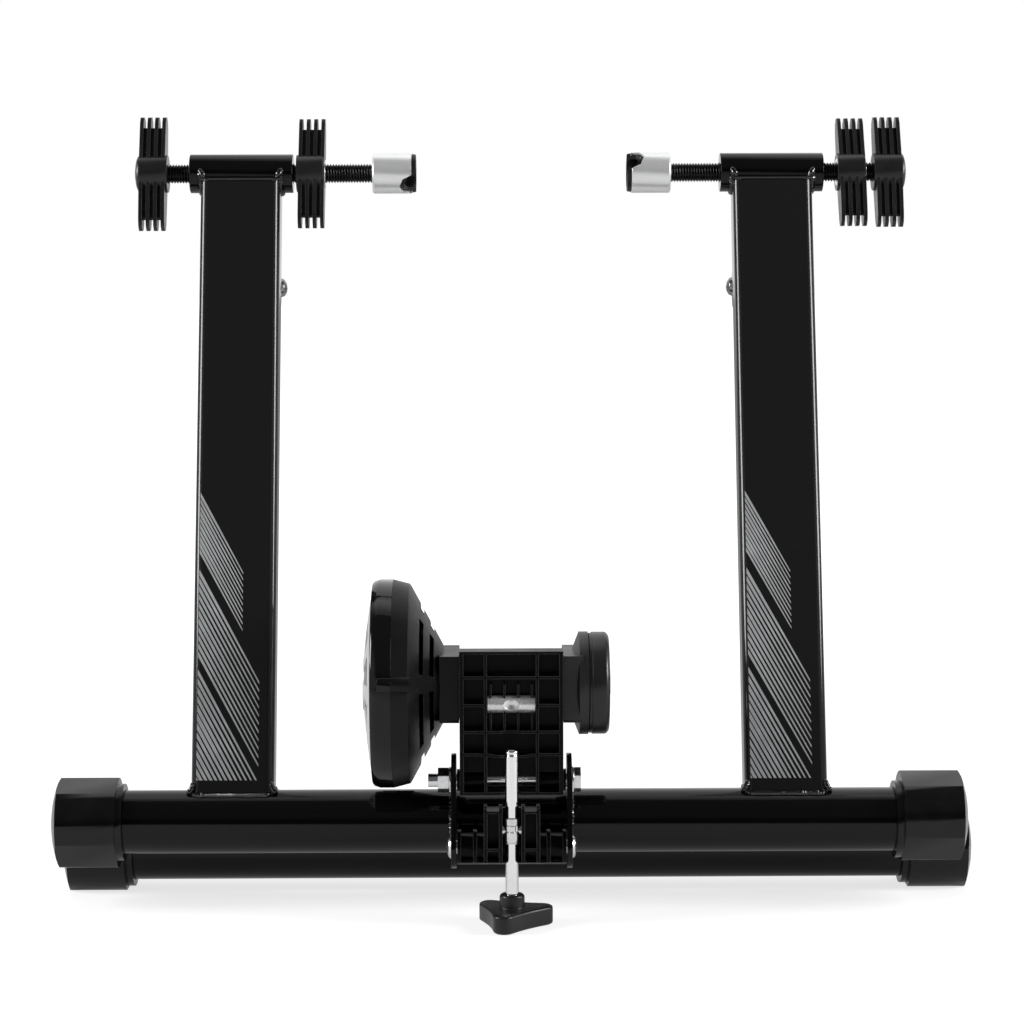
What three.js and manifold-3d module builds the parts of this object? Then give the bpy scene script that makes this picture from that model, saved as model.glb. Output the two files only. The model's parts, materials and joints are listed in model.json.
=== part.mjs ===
// A folded magnetic bike trainer of the kind that holds a bicycle by its rear axle.
// Millimetres, +X to the right, +Y away from the front, +Z up.
import * as THREE from 'three';
import { mergeVertices } from 'three/addons/utils/BufferGeometryUtils.js';
import Module from 'manifold-3d';

const wasm = await Module();
wasm.setup();

// Fits, and how finely round shapes are divided
const fit = 0.3; // gap where one piece turns or slides in another
const seam = 0.3; // gap at a weld
const seat = 0.1; // gap between clamped flat faces
const overrun = 2; // how far a cutter passes the face that it opens
const fineSides = 48;
const largeSides = 32;
const mediumSides = 24;
const smallSides = 16;
const arcSteps = 4; // steps in each rounded corner or lobe

// Stance: how far the main frame leans back while the folded trainer stands
const frameLean = THREE.MathUtils.degToRad(16.5);

// Bottom tubes, shared by the main frame and the leg frame
const barRadius = 19;
const barWall = 1.6;
const mainSpan = 547; // over the end faces of the foot caps
const legOverhang = 11.4; // how much longer the leg tube is, with its caps
const legSpan = mainSpan + legOverhang;
const legBarShift = 5.1; // the leg tube sits this far to the right

// Uprights and clamp sleeves
const uprightInset = 108.5; // from an upright's middle to the end of the foot cap
const uprightSpacing = mainSpan - 2 * uprightInset;
const uprightWidth = 49.3;
const uprightDepth = 25;
const uprightCorner = 5;
const uprightWall = 1.6;
const clampHeight = 403; // from the bottom tube's axis to the clamp axis, along the upright
const sleeveRadius = 12;
const sleeveLength = 64;
const sleeveSeatShare = 0.6; // how far up the sleeve's radius the upright's walls reach

// Fold hinge and legs, in the main frame's own plane
const foldPivotHeight = 337;
const foldPivotSetback = 28;
const foldedBarDrop = 11.5; // the leg tube's axis below the main tube's, along the upright
const foldedBarSetback = 58;
const foldEarThickness = 3;
const foldBracketHeight = 38;
const foldBracketInset = 2.4; // the bracket is this much narrower than the upright, at each side
const foldEarRadius = 15;
const foldPinRadius = 5;
const foldPinHeadRadius = 6.5;
const foldPinHeadHeight = 4.7;
const foldPinTailHeight = 1.2;
const legDepth = 20;
const legCorner = 4;
const legWall = 1.5;

// Levelling foot caps: round with three flats, bored off centre
const capRadius = 26.7;
const capLength = 40;
const capEndWall = 4.7;
const capDome = 5;
const capOffset = 2.3;
const capFlatHalfAngle = THREE.MathUtils.degToRad(25);
const capCollarRadius = 23;
const capCollarLength = 4;
const capFlats = 3;
const mainLeftCapTurn = THREE.MathUtils.degToRad(180);
const mainRightCapTurn = THREE.MathUtils.degToRad(60);
const legCapTurn = THREE.MathUtils.degToRad(30); // one flat faces straight down

// Axle clamps, measured outwards from the trainer's middle
const spindleRadius = 5.9;
const cupRadius = 12.6;
const cupLength = 24.3;
const cupWall = 1.8;
const cupFloor = 4;
const cupRearChamfer = 1;
const linerProud = 2.7;
const linerWall = 2;
const linerFloor = 2.5;
const linerRimInset = 0.5;
const notchWidth = 16;
const notchDepth = 7.8;
const linerNotchDepth = 4.6;
const leftCupReach = 105.8; // from the upright's middle in to the cup's mouth
const rightCupReach = 87.2;
const leftCupMouth = uprightSpacing / 2 - leftCupReach;
const rightCupMouth = uprightSpacing / 2 - rightCupReach;
const leftNotchTurn = THREE.MathUtils.degToRad(-62);
const rightNotchTurn = THREE.MathUtils.degToRad(35);

// Winged knobs
const wingSpan = 74;
const wingTipRadius = 6.6;
const wingRootRadius = 9.4; // half of a rib's width where it meets the hub
const wingHubRadius = 11.6;
const wingRibs = 4;
const wingRibPitch = 4.62;
const wingRibThickness = 2.3;
const wingHubLead = 1.3; // the hub's face ahead of the first rib
const wingCoreInset = 7; // the web between the ribs stops this far short of their tips
const wingCoreSideInset = 4.3;
const endHubLength = 20.5;
const endHubDome = 3;
const lockHubLength = 18;
const knobGrip = 13; // depth of the spindle's hole in an end knob
const insertWall = 2.6;
const leftEndKnobReach = 46; // from the upright's middle out to the knob's face
const rightEndKnobReach = 63.6;
const leftLockReach = 34.2; // this one is on the inner side
const rightLockReach = 40.9;
const leftEndKnobPlace = uprightSpacing / 2 + leftEndKnobReach;
const rightEndKnobPlace = uprightSpacing / 2 + rightEndKnobReach;
const leftLockPlace = uprightSpacing / 2 - leftLockReach;
const rightLockPlace = uprightSpacing / 2 + rightLockReach;
const leftEndTurn = THREE.MathUtils.degToRad(0.5);
const leftLockTurn = THREE.MathUtils.degToRad(7.5);
const rightLockTurn = THREE.MathUtils.degToRad(9.5);
const rightEndTurn = THREE.MathUtils.degToRad(6.5);

// Where the roller unit and its tension screw are hinged, from the main tube's axis
const unitShift = 1; // the unit sits this far to the right of the middle
const unitPivotForward = 28;
const unitPivotHeight = 30.2;
const yokePivotForward = 42;
const yokePivotDrop = 6.6;

// Unit plates and their bolts
const plateGap = 64.5; // between the plates
const plateThickness = 3;
const plateTopRadius = 16;
const plateBottomRadius = 12.5;
const boltRadius = 4;
const hexAcrossFlats = 13;
const hexHeadHeight = 4;
const hexNutHeight = 6.5;
const washerRadius = 8;
const washerThickness = 1.2;
const boltTail = 5.6; // thread left proud of the nut
const domeRadius = 7;
const domeHeight = 2.8;
const domeNutWall = 1;

// Ribbed unit bracket, measured from its pivot
const bracketWidth = 60.4;
const bracketHeight = 78;
const bracketDrop = 6.6; // how far it reaches below the pivot
const bracketFace = 13; // the ribs' front edges, ahead of the pivot
const ribDepth = 9.5;
const webThickness = 3.5;
const sideWall = 2.3;
const ribThickness = 1.6;
const bracketHubRadius = 6.6;
const crossRibHeightShares = [0.222, 0.392, 0.594, 0.803]; // of the bracket's height
const crossRibSag = 1.4; // how far the lowest of them curves down, to clear the rod
const uprightRibSpacing = 30.2;
const rotorBack = 18;
const rotorHeight = 54.6;
const cheekRadius = 20;
const cheekTopCut = 4;
const rodScallopRadius = 9;
const rodScallopDepth = 2.5;

// Tension seat: a steel barrel in four cradle ribs
const barrelRadius = 5.2;
const barrelLength = 28;
const barrelBack = 7; // the barrel's axis ahead of the pivot
const barrelDimpleRadius = 4.7;
const barrelDimpleDepth = 3.6;
const cradleRibThickness = 1.1;
const cradleRibSpacing = 8;
const cradleReachUp = 12;
const cradleReachDown = 15;
const cradleFront = 10.5;

// Brake housing on the left of the unit, measured outwards from the unit's middle
const neckWidth = 11.4;
const neckHeight = 39.5;
const neckDepth = 48;
const neckCentreForward = 2; // the neck's middle ahead of the rotor's axis
const neckChamfer = 2;
const coneStart = 40;
const coneEnd = 58.4;
const coneStartRadius = 23.2;
const shellRimRadius = 61.5;
const shellShoulderStep = 2.5; // the shoulder, the cone's end and the cover's edge are inside the rim
const coneEndStep = 4.1;
const coverEdgeStep = 1.1;
const faceInset = 5.5;
const shellShoulderRadius = shellRimRadius - shellShoulderStep;
const coneEndRadius = shellRimRadius - coneEndStep;
const coverEdgeRadius = shellRimRadius - coverEdgeStep;
const faceRadius = shellRimRadius - faceInset;
const shellRimEnd = 69;
const shellWall = 2.2;
const coverRimEnd = 81.4;
const faceBulge = 5.6;
const faceThickness = 1.8;
const faceHubRadius = 16;
const faceWindowInner = 22;
const faceBorder = 10; // left solid outside the windows
const faceWindowOuter = faceRadius - faceBorder;
const faceWindows = 10;
const faceWindowShare = 0.62; // of each window's pitch that is open
const shellSlots = 6;
const shellSlotTurn = THREE.MathUtils.degToRad(8.5);
const shellSlotHalfAngle = THREE.MathUtils.degToRad(23);
const shellSlotWidth = 2.4;
const shellSlotShares = [0.34, 0.66]; // of the cone's length, from its wide end
const lugs = 3;
const lugRadius = 5;
const lugProud = 1.6;

// Rotor and the parts round it
const rollerRadius = 15;
const rollerLength = 50;
const rollerCrown = 0.6;
const shaftRadius = 5;
const bearingRadius = 11;
const bearingWidth = 6;
const brakeDiscClearance = 8.3; // inside the housing's wall
const brakeDiscRadius = shellRimRadius - shellWall - brakeDiscClearance;
const brakeDiscThickness = 3;
const brakeDiscPlace = 71.5;
const brakeHubRadius = 12;
const brakeHubLength = 9;
const magnetPlateInner = 21;
const magnetPlateThickness = 2;
const magnetPlateStart = 46.5; // its flat middle
const magnetPlateEnd = 57.9; // its wide end, behind the cone
const magnetDishRadius = 27;
const shaftNutHeight = 4;
const shaftNutAcrossFlats = 15;
const coverConeStart = 36.5;
const coverConeEnd = 40;
const coverFlangeEnd = 45.4;
const coverConeRadius = 21.4;
const coverFlangeRadius = 30.4;
const coverCollarRadius = 26;
const coverCollarLength = 1.5;
const flywheelGap = 0.5;
const flywheelStart = coverFlangeEnd + coverCollarLength + flywheelGap;
const flywheelEnd = 57.6;
const flywheelRadius = 30.2;
const flywheelRound = 2.2;
const flywheelDish = 3;
const flywheelDishRadius = 22;

// Yoke and tension screw, measured from the yoke's pivot
const rodForward = 12;
const yokeWidth = 63.4;
const yokeHubRadius = 7.5;
const yokeRimRadius = 10.3;
const yokeRimThickness = 2.1;
const yokeInnerRimSpacing = 42.8;
const yokeShellWall = 1.6;
const yokeShellFrom = THREE.MathUtils.degToRad(-128); // the shell under the hub, from behind
const yokeShellTo = THREE.MathUtils.degToRad(-52); // to the front
const yokeEarThickness = 2;
const yokeInnerEarSpacing = 13;
const yokeOuterEarSpacing = 30.5;
const yokeEarFront = 17.5;
const yokeEarTop = 26.6;
const yokeEarBack = 6.5;
const yokeEarCorner = 2;
const yokeEarToe = 6.5; // how far below the pivot the ears' front corners are
const yokeTieTop = 24.6;
const yokeTieBottom = 2.6;
const yokeTieThickness = 1.5;
const yokeTieDepth = 9;
const nutBlockWidth = 10.4;
const nutBottom = 4.8;
const nutTop = 20;
const nutTrunnionRadius = 3;
const nutTrunnionReach = 2;
const rodRadius = 3.8;
const rodTop = 59.8;
const rodTipHeight = 2.6;
const rodTipRound = 1;
const lobeReach = 24.5;
const lobeRadius = 6.5;
const lobes = 3;
const lobeTurn = THREE.MathUtils.degToRad(105);
const lobeWaistShare = 0.82; // how far the sides between the lobes draw in
const tensionKnobHeight = 11;
const tensionKnobBevel = 1.6;
const tensionHubRadius = 7.3;
const tensionHubHeight = 8;
const tensionHubRound = 1.6;
const tensionGrip = 13; // depth of the rod's hole in the knob

// Finishes
const glossBlack = new THREE.MeshStandardMaterial({ color: 0x0b0b0c, roughness: 0.18, metalness: 0.1 });
const satinBlack = new THREE.MeshStandardMaterial({ color: 0x161617, roughness: 0.5, metalness: 0 });
const mattBlack = new THREE.MeshStandardMaterial({ color: 0x1b1b1c, roughness: 0.7, metalness: 0 });
const plating = new THREE.MeshStandardMaterial({ color: 0xd8d9da, roughness: 0.22, metalness: 1 });
const aluminium = new THREE.MeshStandardMaterial({ color: 0xb9bbbd, roughness: 0.35, metalness: 1 });
const darkSteel = new THREE.MeshStandardMaterial({ color: 0x55585b, roughness: 0.4, metalness: 1 });

// A closed three.js geometry as a solid: vertices merged, collapsed faces dropped, faces turned outwards
function solidOf(geometry) {
  geometry.deleteAttribute('normal');
  geometry.deleteAttribute('uv');
  const merged = mergeVertices(geometry);
  const place = merged.getAttribute('position');
  const corners = [0, 1, 2].map(() => new THREE.Vector3());
  const faces = [];
  let volume = 0;
  for (let i = 0; i < merged.index.count; i += 3) {
    const [a, b, c] = [0, 1, 2].map((k) => merged.index.getX(i + k));
    if (a === b || b === c || c === a) continue;
    faces.push([a, b, c]);
    [a, b, c].forEach((v, k) => corners[k].fromBufferAttribute(place, v));
    volume += corners[0].dot(corners[1].cross(corners[2]));
  }
  const outward = volume > 0 ? faces : faces.map(([a, b, c]) => [a, c, b]);
  return new wasm.Manifold(new wasm.Mesh({
    numProp: 3,
    vertProperties: new Float32Array(place.array),
    triVerts: new Uint32Array(outward.flat()),
  }));
}

// A solid back as a three.js geometry
function geometryOf(solid) {
  const mesh = solid.getMesh();
  const geometry = new THREE.BufferGeometry();
  geometry.setAttribute('position', new THREE.BufferAttribute(mesh.vertProperties, 3));
  geometry.setIndex(new THREE.BufferAttribute(mesh.triVerts, 1));
  geometry.computeVertexNormals();
  return geometry;
}

function addPiece(parent, name, solid, material) {
  const mesh = new THREE.Mesh(geometryOf(solid), material);
  mesh.name = name;
  parent.add(mesh);
  return mesh;
}

function union(...solids) {
  return solids.reduce((all, next) => all.add(next));
}

// Turns the extrusion of an XY outline into one whose outline lies in YZ and whose length runs along X
const alongX = new THREE.Matrix4().makeBasis(
  new THREE.Vector3(0, 1, 0),
  new THREE.Vector3(0, 0, 1),
  new THREE.Vector3(1, 0, 0),
);

function block([x0, x1], [y0, y1], [z0, z1]) {
  const box = new THREE.BoxGeometry(x1 - x0, y1 - y0, z1 - z0);
  return solidOf(box.translate((x0 + x1) / 2, (y0 + y1) / 2, (z0 + z1) / 2));
}

function prismX(outline, x0, x1) {
  const [low, high] = [Math.min(x0, x1), Math.max(x0, x1)];
  const extruded = new THREE.ExtrudeGeometry(outline, { depth: high - low, bevelEnabled: false });
  return solidOf(extruded.applyMatrix4(alongX).translate(low, 0, 0));
}

function prismZ(outline, z0, z1) {
  const extruded = new THREE.ExtrudeGeometry(outline, { depth: z1 - z0, bevelEnabled: false });
  return solidOf(extruded.translate(0, 0, z0));
}

function barX(radius, x0, x1, sides, y = 0, z = 0) {
  const bar = new THREE.CylinderGeometry(radius, radius, Math.abs(x1 - x0), sides);
  return solidOf(bar.rotateZ(Math.PI / 2).translate((x0 + x1) / 2, y, z));
}

function barZ(radius, z0, z1, sides, x = 0, y = 0) {
  const bar = new THREE.CylinderGeometry(radius, radius, z1 - z0, sides);
  return solidOf(bar.rotateX(Math.PI / 2).translate(x, y, (z0 + z1) / 2));
}

// Revolves [along X, radius] points about the X axis
function turnX(points, sides, y = 0, z = 0) {
  const profile = points.map(([x, r]) => new THREE.Vector2(r, x));
  const turned = new THREE.LatheGeometry(profile, sides);
  return solidOf(turned.rotateZ(-Math.PI / 2).translate(0, y, z));
}

// Revolves [radius, along Z] points about the Z axis
function turnZ(points, sides) {
  const profile = points.map(([r, z]) => new THREE.Vector2(r, z));
  return solidOf(new THREE.LatheGeometry(profile, sides).rotateX(Math.PI / 2));
}

function ringX(outer, inner, x0, x1, sides) {
  return turnX([[x0, inner], [x1, inner], [x1, outer], [x0, outer], [x0, inner]], sides);
}

function hexRadius(acrossFlats) {
  return acrossFlats / 2 / Math.cos(Math.PI / 6);
}

// Points of an arc in an outline's plane
function arcPoints([cx, cy], radius, from, to, steps = arcSteps) {
  return Array.from({ length: steps + 1 }, (_, i) => {
    const angle = from + ((to - from) * i) / steps;
    return new THREE.Vector2(cx + radius * Math.cos(angle), cy + radius * Math.sin(angle));
  });
}

function roundedRect(width, depth, corner) {
  const [w, d] = [width / 2 - corner, depth / 2 - corner];
  const turns = [[w, d], [-w, d], [-w, -d], [w, -d]];
  return turns.flatMap((centre, i) => arcPoints(centre, corner, (i * Math.PI) / 2, ((i + 1) * Math.PI) / 2));
}

// A box tube's outline with its hollow
function boxTubeOutline(width, depth, corner, wall) {
  const outline = new THREE.Shape(roundedRect(width, depth, corner));
  const hollow = roundedRect(width - 2 * wall, depth - 2 * wall, corner - wall);
  outline.holes.push(new THREE.Path(hollow));
  return outline;
}

// The outline round two circles and the straight sides between them
function capsule([ay, az], aRadius, [by, bz], bRadius) {
  const span = Math.hypot(by - ay, bz - az);
  const heading = Math.atan2(bz - az, by - ay);
  const spread = Math.acos((aRadius - bRadius) / span);
  return new THREE.Shape([
    ...arcPoints([ay, az], aRadius, heading + spread, heading + 2 * Math.PI - spread, 2 * arcSteps),
    ...arcPoints([by, bz], bRadius, heading - spread, heading + spread, 2 * arcSteps),
  ]);
}

// Part of a ring, with its angles measured from the front, upwards
function ringSector(inner, outer, from, to) {
  const turn = (angle) => Math.PI - angle;
  return new THREE.Shape([
    ...arcPoints([0, 0], outer, turn(from), turn(to)),
    ...arcPoints([0, 0], inner, turn(to), turn(from)),
  ]);
}

// Tubes and sleeves of the main frame

function bottomTube(span) {
  const half = span / 2 - capEndWall - fit;
  return ringX(barRadius, barRadius - barWall, -half, half, largeSides);
}

function upright() {
  const top = clampHeight - sleeveRadius * sleeveSeatShare;
  const tube = prismZ(boxTubeOutline(uprightWidth, uprightDepth, uprightCorner, uprightWall), 0, top);
  const bottomCope = barX(barRadius + seam, -uprightWidth, uprightWidth, largeSides);
  const topCope = barX(sleeveRadius + seam, -uprightWidth, uprightWidth, mediumSides, 0, clampHeight);
  return tube.subtract(bottomCope).subtract(topCope);
}

function clampSleeve() {
  return ringX(sleeveRadius, spindleRadius + fit, -sleeveLength / 2, sleeveLength / 2, mediumSides);
}

const foldBracketHalf = uprightWidth / 2 - foldBracketInset;

// A U bracket behind an upright: its base lies on the upright and its ears hold the leg
function foldBracket() {
  const half = foldBracketHalf;
  const back = uprightDepth / 2 + seam;
  const low = foldPivotHeight - foldBracketHeight / 2;
  const high = foldPivotHeight + foldBracketHeight / 2;
  const pivot = [foldPivotSetback, foldPivotHeight];
  const ear = new THREE.Shape([
    new THREE.Vector2(back, low),
    ...arcPoints(pivot, foldEarRadius, -Math.PI / 2, Math.PI / 2, 2 * arcSteps),
    new THREE.Vector2(back, high),
  ]);
  const base = block([-half, half], [back, back + foldEarThickness], [low, high]);
  const ears = [-1, 1].map((side) => prismX(ear, side * half, side * (half - foldEarThickness)));
  const hole = barX(foldPinRadius + fit, -half - overrun, half + overrun, smallSides, ...pivot);
  return union(base, ...ears).subtract(hole);
}

// The pin's dome faces the trainer's middle
function foldPin(side) {
  const face = foldBracketHalf + seat;
  const steps = [1, 0.8, 0.45, 0].map((share) => [
    face + foldPinHeadHeight * Math.sqrt(1 - share * share),
    foldPinHeadRadius * share,
  ]);
  const profile = [
    [-face - foldPinTailHeight, 0],
    [-face - foldPinTailHeight, foldPinHeadRadius],
    [-face, foldPinHeadRadius],
    [-face, foldPinRadius],
    [face, foldPinRadius],
    ...steps,
  ].map(([x, r]) => [-side * x, r]);
  return turnX(profile, smallSides, foldPivotSetback, foldPivotHeight);
}

// Legs

const legRun = foldPivotHeight + foldedBarDrop;
const legRise = foldedBarSetback - foldPivotSetback;
const legLength = Math.hypot(legRun, legRise);
const legTilt = Math.atan2(legRise, legRun);
const legWidth = 2 * (foldBracketHalf - foldEarThickness - fit);

// A leg hangs from its pivot, which is this solid's origin
function leg() {
  const endRadius = legDepth / 2;
  const tube = prismZ(boxTubeOutline(legWidth, legDepth, legCorner, legWall), -legLength, endRadius);
  const side = new THREE.Shape([
    new THREE.Vector2(-endRadius, -legLength),
    new THREE.Vector2(endRadius, -legLength),
    ...arcPoints([0, 0], endRadius, 0, Math.PI, 2 * arcSteps),
  ]);
  const cope = barX(barRadius + seam, -legWidth, legWidth, largeSides, 0, -legLength);
  const hole = barX(foldPinRadius + fit, -legWidth, legWidth, smallSides);
  return tube.intersect(prismX(side, -legWidth, legWidth)).subtract(cope).subtract(hole);
}

// A foot cap on a tube whose axis is X; it closes the tube's end at side * span / 2
function footCap(side, span, turn) {
  const end = span / 2;
  const inner = end - capLength;
  const toward = (angle) => [-Math.cos(angle), Math.sin(angle)];
  const [offsetY, offsetZ] = toward(turn).map((share) => share * capOffset);
  const pitch = (2 * Math.PI) / capFlats;
  const rounds = Array.from({ length: capFlats }, (_, i) => {
    const from = turn + i * pitch + capFlatHalfAngle;
    const to = turn + (i + 1) * pitch - capFlatHalfAngle;
    return arcPoints([offsetY, offsetZ], capRadius, Math.PI - from, Math.PI - to, 2 * arcSteps);
  });
  const prism = prismX(new THREE.Shape(rounds.flat()), side * inner, side * end);
  const domeShares = [1, 0.86, 0.62, 0.34, 0];
  const dome = turnX([
    [side * (inner - overrun), 0],
    [side * (inner - overrun), capRadius + overrun],
    [side * (end - capDome), capRadius + overrun],
    ...domeShares.map((share) => [side * (end - capDome * share * share), capRadius * share]),
  ], largeSides, offsetY, offsetZ);
  const collar = barX(capCollarRadius, side * (inner - capCollarLength), side * (inner + overrun), largeSides);
  const bore = barX(barRadius + fit, side * (inner - capCollarLength - overrun), side * (end - capEndWall), largeSides);
  return prism.intersect(dome).add(collar).subtract(bore);
}

// Winged knobs

// A wing's outline: a round hub and a round tip at each end
function wingOutline(span, hubRadius, tipRadius) {
  const reach = span / 2 - tipRadius;
  const spread = Math.asin((hubRadius - tipRadius) / reach);
  return new THREE.Shape([
    ...arcPoints([0, 0], hubRadius, -spread, spread, 2),
    ...arcPoints([0, reach], tipRadius, spread, Math.PI - spread),
    ...arcPoints([0, 0], hubRadius, Math.PI - spread, Math.PI + spread, 2),
    ...arcPoints([0, -reach], tipRadius, Math.PI + spread, 2 * Math.PI - spread),
  ]);
}

// A knob on the X axis with its flat face at x = 0 and its body towards +X
function wingedKnob(hubLength, hubDome, bore) {
  const firstRib = wingHubLead;
  const lastRib = firstRib + (wingRibs - 1) * wingRibPitch + wingRibThickness;
  const ribOutline = wingOutline(wingSpan, wingRootRadius, wingTipRadius);
  const coreOutline = wingOutline(
    wingSpan - 2 * wingCoreInset,
    wingRootRadius - wingCoreSideInset,
    wingTipRadius - wingCoreSideInset,
  );
  const ribs = Array.from({ length: wingRibs }, (_, i) => {
    const start = firstRib + i * wingRibPitch;
    return prismX(ribOutline, start, start + wingRibThickness);
  });
  const core = prismX(coreOutline, firstRib, lastRib);
  const domeShares = [1, 0.93, 0.75, 0.4, 0];
  const hub = turnX([
    [0, 0],
    [0, wingHubRadius],
    ...domeShares.map((share) => [
      hubLength - hubDome * (1 - Math.sqrt(1 - share * share)),
      wingHubRadius * share,
    ]),
  ], mediumSides);
  return union(hub, core, ...ribs).subtract(bore);
}

function endKnob() {
  return wingedKnob(endHubLength, endHubDome, barX(spindleRadius + fit, -overrun, knobGrip, smallSides));
}

function lockKnob() {
  const bore = barX(
    spindleRadius + fit + insertWall + fit,
    -overrun,
    lockHubLength + overrun,
    smallSides,
  );
  return wingedKnob(lockHubLength, wingHubLead, bore);
}

function lockInsert() {
  return ringX(spindleRadius + fit + insertWall, spindleRadius + fit, 0, lockHubLength, smallSides);
}

// Axle cups: the mouth is at x = 0 and the floor towards +X

function notchCutter(depth, turn, behind) {
  const slot = new THREE.Shape([
    new THREE.Vector2(-behind, notchWidth / 2),
    ...arcPoints([depth - notchWidth / 2, 0], notchWidth / 2, Math.PI / 2, -Math.PI / 2, arcSteps),
    new THREE.Vector2(-behind, -notchWidth / 2),
  ]);
  return solidOf(
    new THREE.ExtrudeGeometry(slot, { depth: cupRadius + overrun, bevelEnabled: false })
      .rotateX(Math.PI / 2)
      .rotateX(-turn),
  );
}

function axleCup(turn) {
  const inner = cupRadius - cupWall;
  const shell = turnX([
    [0, inner],
    [cupLength - cupFloor, inner],
    [cupLength - cupFloor, 0],
    [cupLength, 0],
    [cupLength, cupRadius - cupRearChamfer],
    [cupLength - cupRearChamfer, cupRadius],
    [0, cupRadius],
    [0, inner],
  ], largeSides);
  const socket = barX(spindleRadius + fit, cupLength - cupFloor / 2, cupLength + overrun, smallSides);
  return shell.subtract(socket).subtract(notchCutter(notchDepth, turn, overrun));
}

function cupLiner(turn) {
  const outer = cupRadius - cupWall - fit;
  const inner = outer - linerWall;
  const floor = cupLength - cupFloor - fit;
  const liner = turnX([
    [-linerProud, inner + linerRimInset],
    [0, inner],
    [floor - linerFloor, inner],
    [floor - linerFloor, 0],
    [floor, 0],
    [floor, outer],
    [-seam, outer],
    [-seam, cupRadius - linerRimInset],
    [-linerProud, cupRadius - 2 * linerRimInset],
    [-linerProud, inner + linerRimInset],
  ], largeSides);
  return liner.subtract(notchCutter(linerNotchDepth, turn, linerProud + overrun));
}

function spindle(from, to) {
  return barX(spindleRadius, from, to, smallSides);
}

// Unit plates and bolts, in upright axes about the main tube

function unitPlate() {
  const top = [-unitPivotForward, unitPivotHeight];
  const bottom = [-yokePivotForward, -yokePivotDrop];
  const strap = capsule(top, plateTopRadius, bottom, plateBottomRadius);
  const foot = new THREE.Shape([
    new THREE.Vector2(top[0], top[1]),
    new THREE.Vector2(0, barRadius),
    new THREE.Vector2(0, -barRadius),
    new THREE.Vector2(bottom[0], bottom[1]),
  ]);
  const edge = plateGap / 2;
  const plate = [strap, foot].map((outline) => prismX(outline, edge, edge + plateThickness));
  const holes = [top, bottom].map((centre) => (
    barX(boltRadius + fit, edge - overrun, edge + plateThickness + overrun, smallSides, ...centre)
  ));
  const cope = barX(barRadius + seam, edge - overrun, edge + plateThickness + overrun, largeSides);
  return union(...plate).subtract(union(...holes)).subtract(cope);
}

const plateFace = plateGap / 2 + plateThickness;

function washer() {
  return ringX(washerRadius, boltRadius + fit, plateFace + seat, plateFace + seat + washerThickness, smallSides);
}

const boltSeat = plateFace + 2 * seat + washerThickness;

function pivotBolt() {
  const end = boltSeat + seat + hexNutHeight + boltTail;
  const shank = barX(boltRadius, -end, boltSeat + hexHeadHeight / 2, smallSides);
  return shank.add(barX(hexRadius(hexAcrossFlats), boltSeat, boltSeat + hexHeadHeight, 6));
}

function pivotNut() {
  const nut = barX(hexRadius(hexAcrossFlats), -boltSeat - hexNutHeight, -boltSeat, 6);
  return nut.subtract(barX(boltRadius + seat, -boltSeat - hexNutHeight - overrun, -boltSeat + overrun, smallSides));
}

function domeProfile(side, face) {
  const shares = [1, 0.85, 0.55, 0];
  return shares.map((share) => [
    side * (face + domeHeight * Math.sqrt(1 - share * share)),
    domeRadius * share,
  ]);
}

function yokeBolt() {
  const face = plateFace + seat;
  const inEnd = -face - domeHeight + domeNutWall + seat;
  return turnX([[inEnd, 0], [inEnd, boltRadius], [face, boltRadius], ...domeProfile(1, face)], smallSides);
}

function yokeNut() {
  const face = plateFace + seat;
  const bore = face + domeHeight - domeNutWall;
  return turnX([
    [-face, boltRadius + seat],
    ...domeProfile(-1, face),
    [-bore, 0],
    [-bore, boltRadius + seat],
    [-face, boltRadius + seat],
  ], smallSides);
}

// Roller unit, measured from its pivot

const cheekInner = bracketWidth / 2 - sideWall;
const rotorPlace = [rotorBack, rotorHeight];
const crossRibHeights = crossRibHeightShares.map((share) => share * bracketHeight);
const barrelHeight = crossRibHeights[2];

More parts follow.
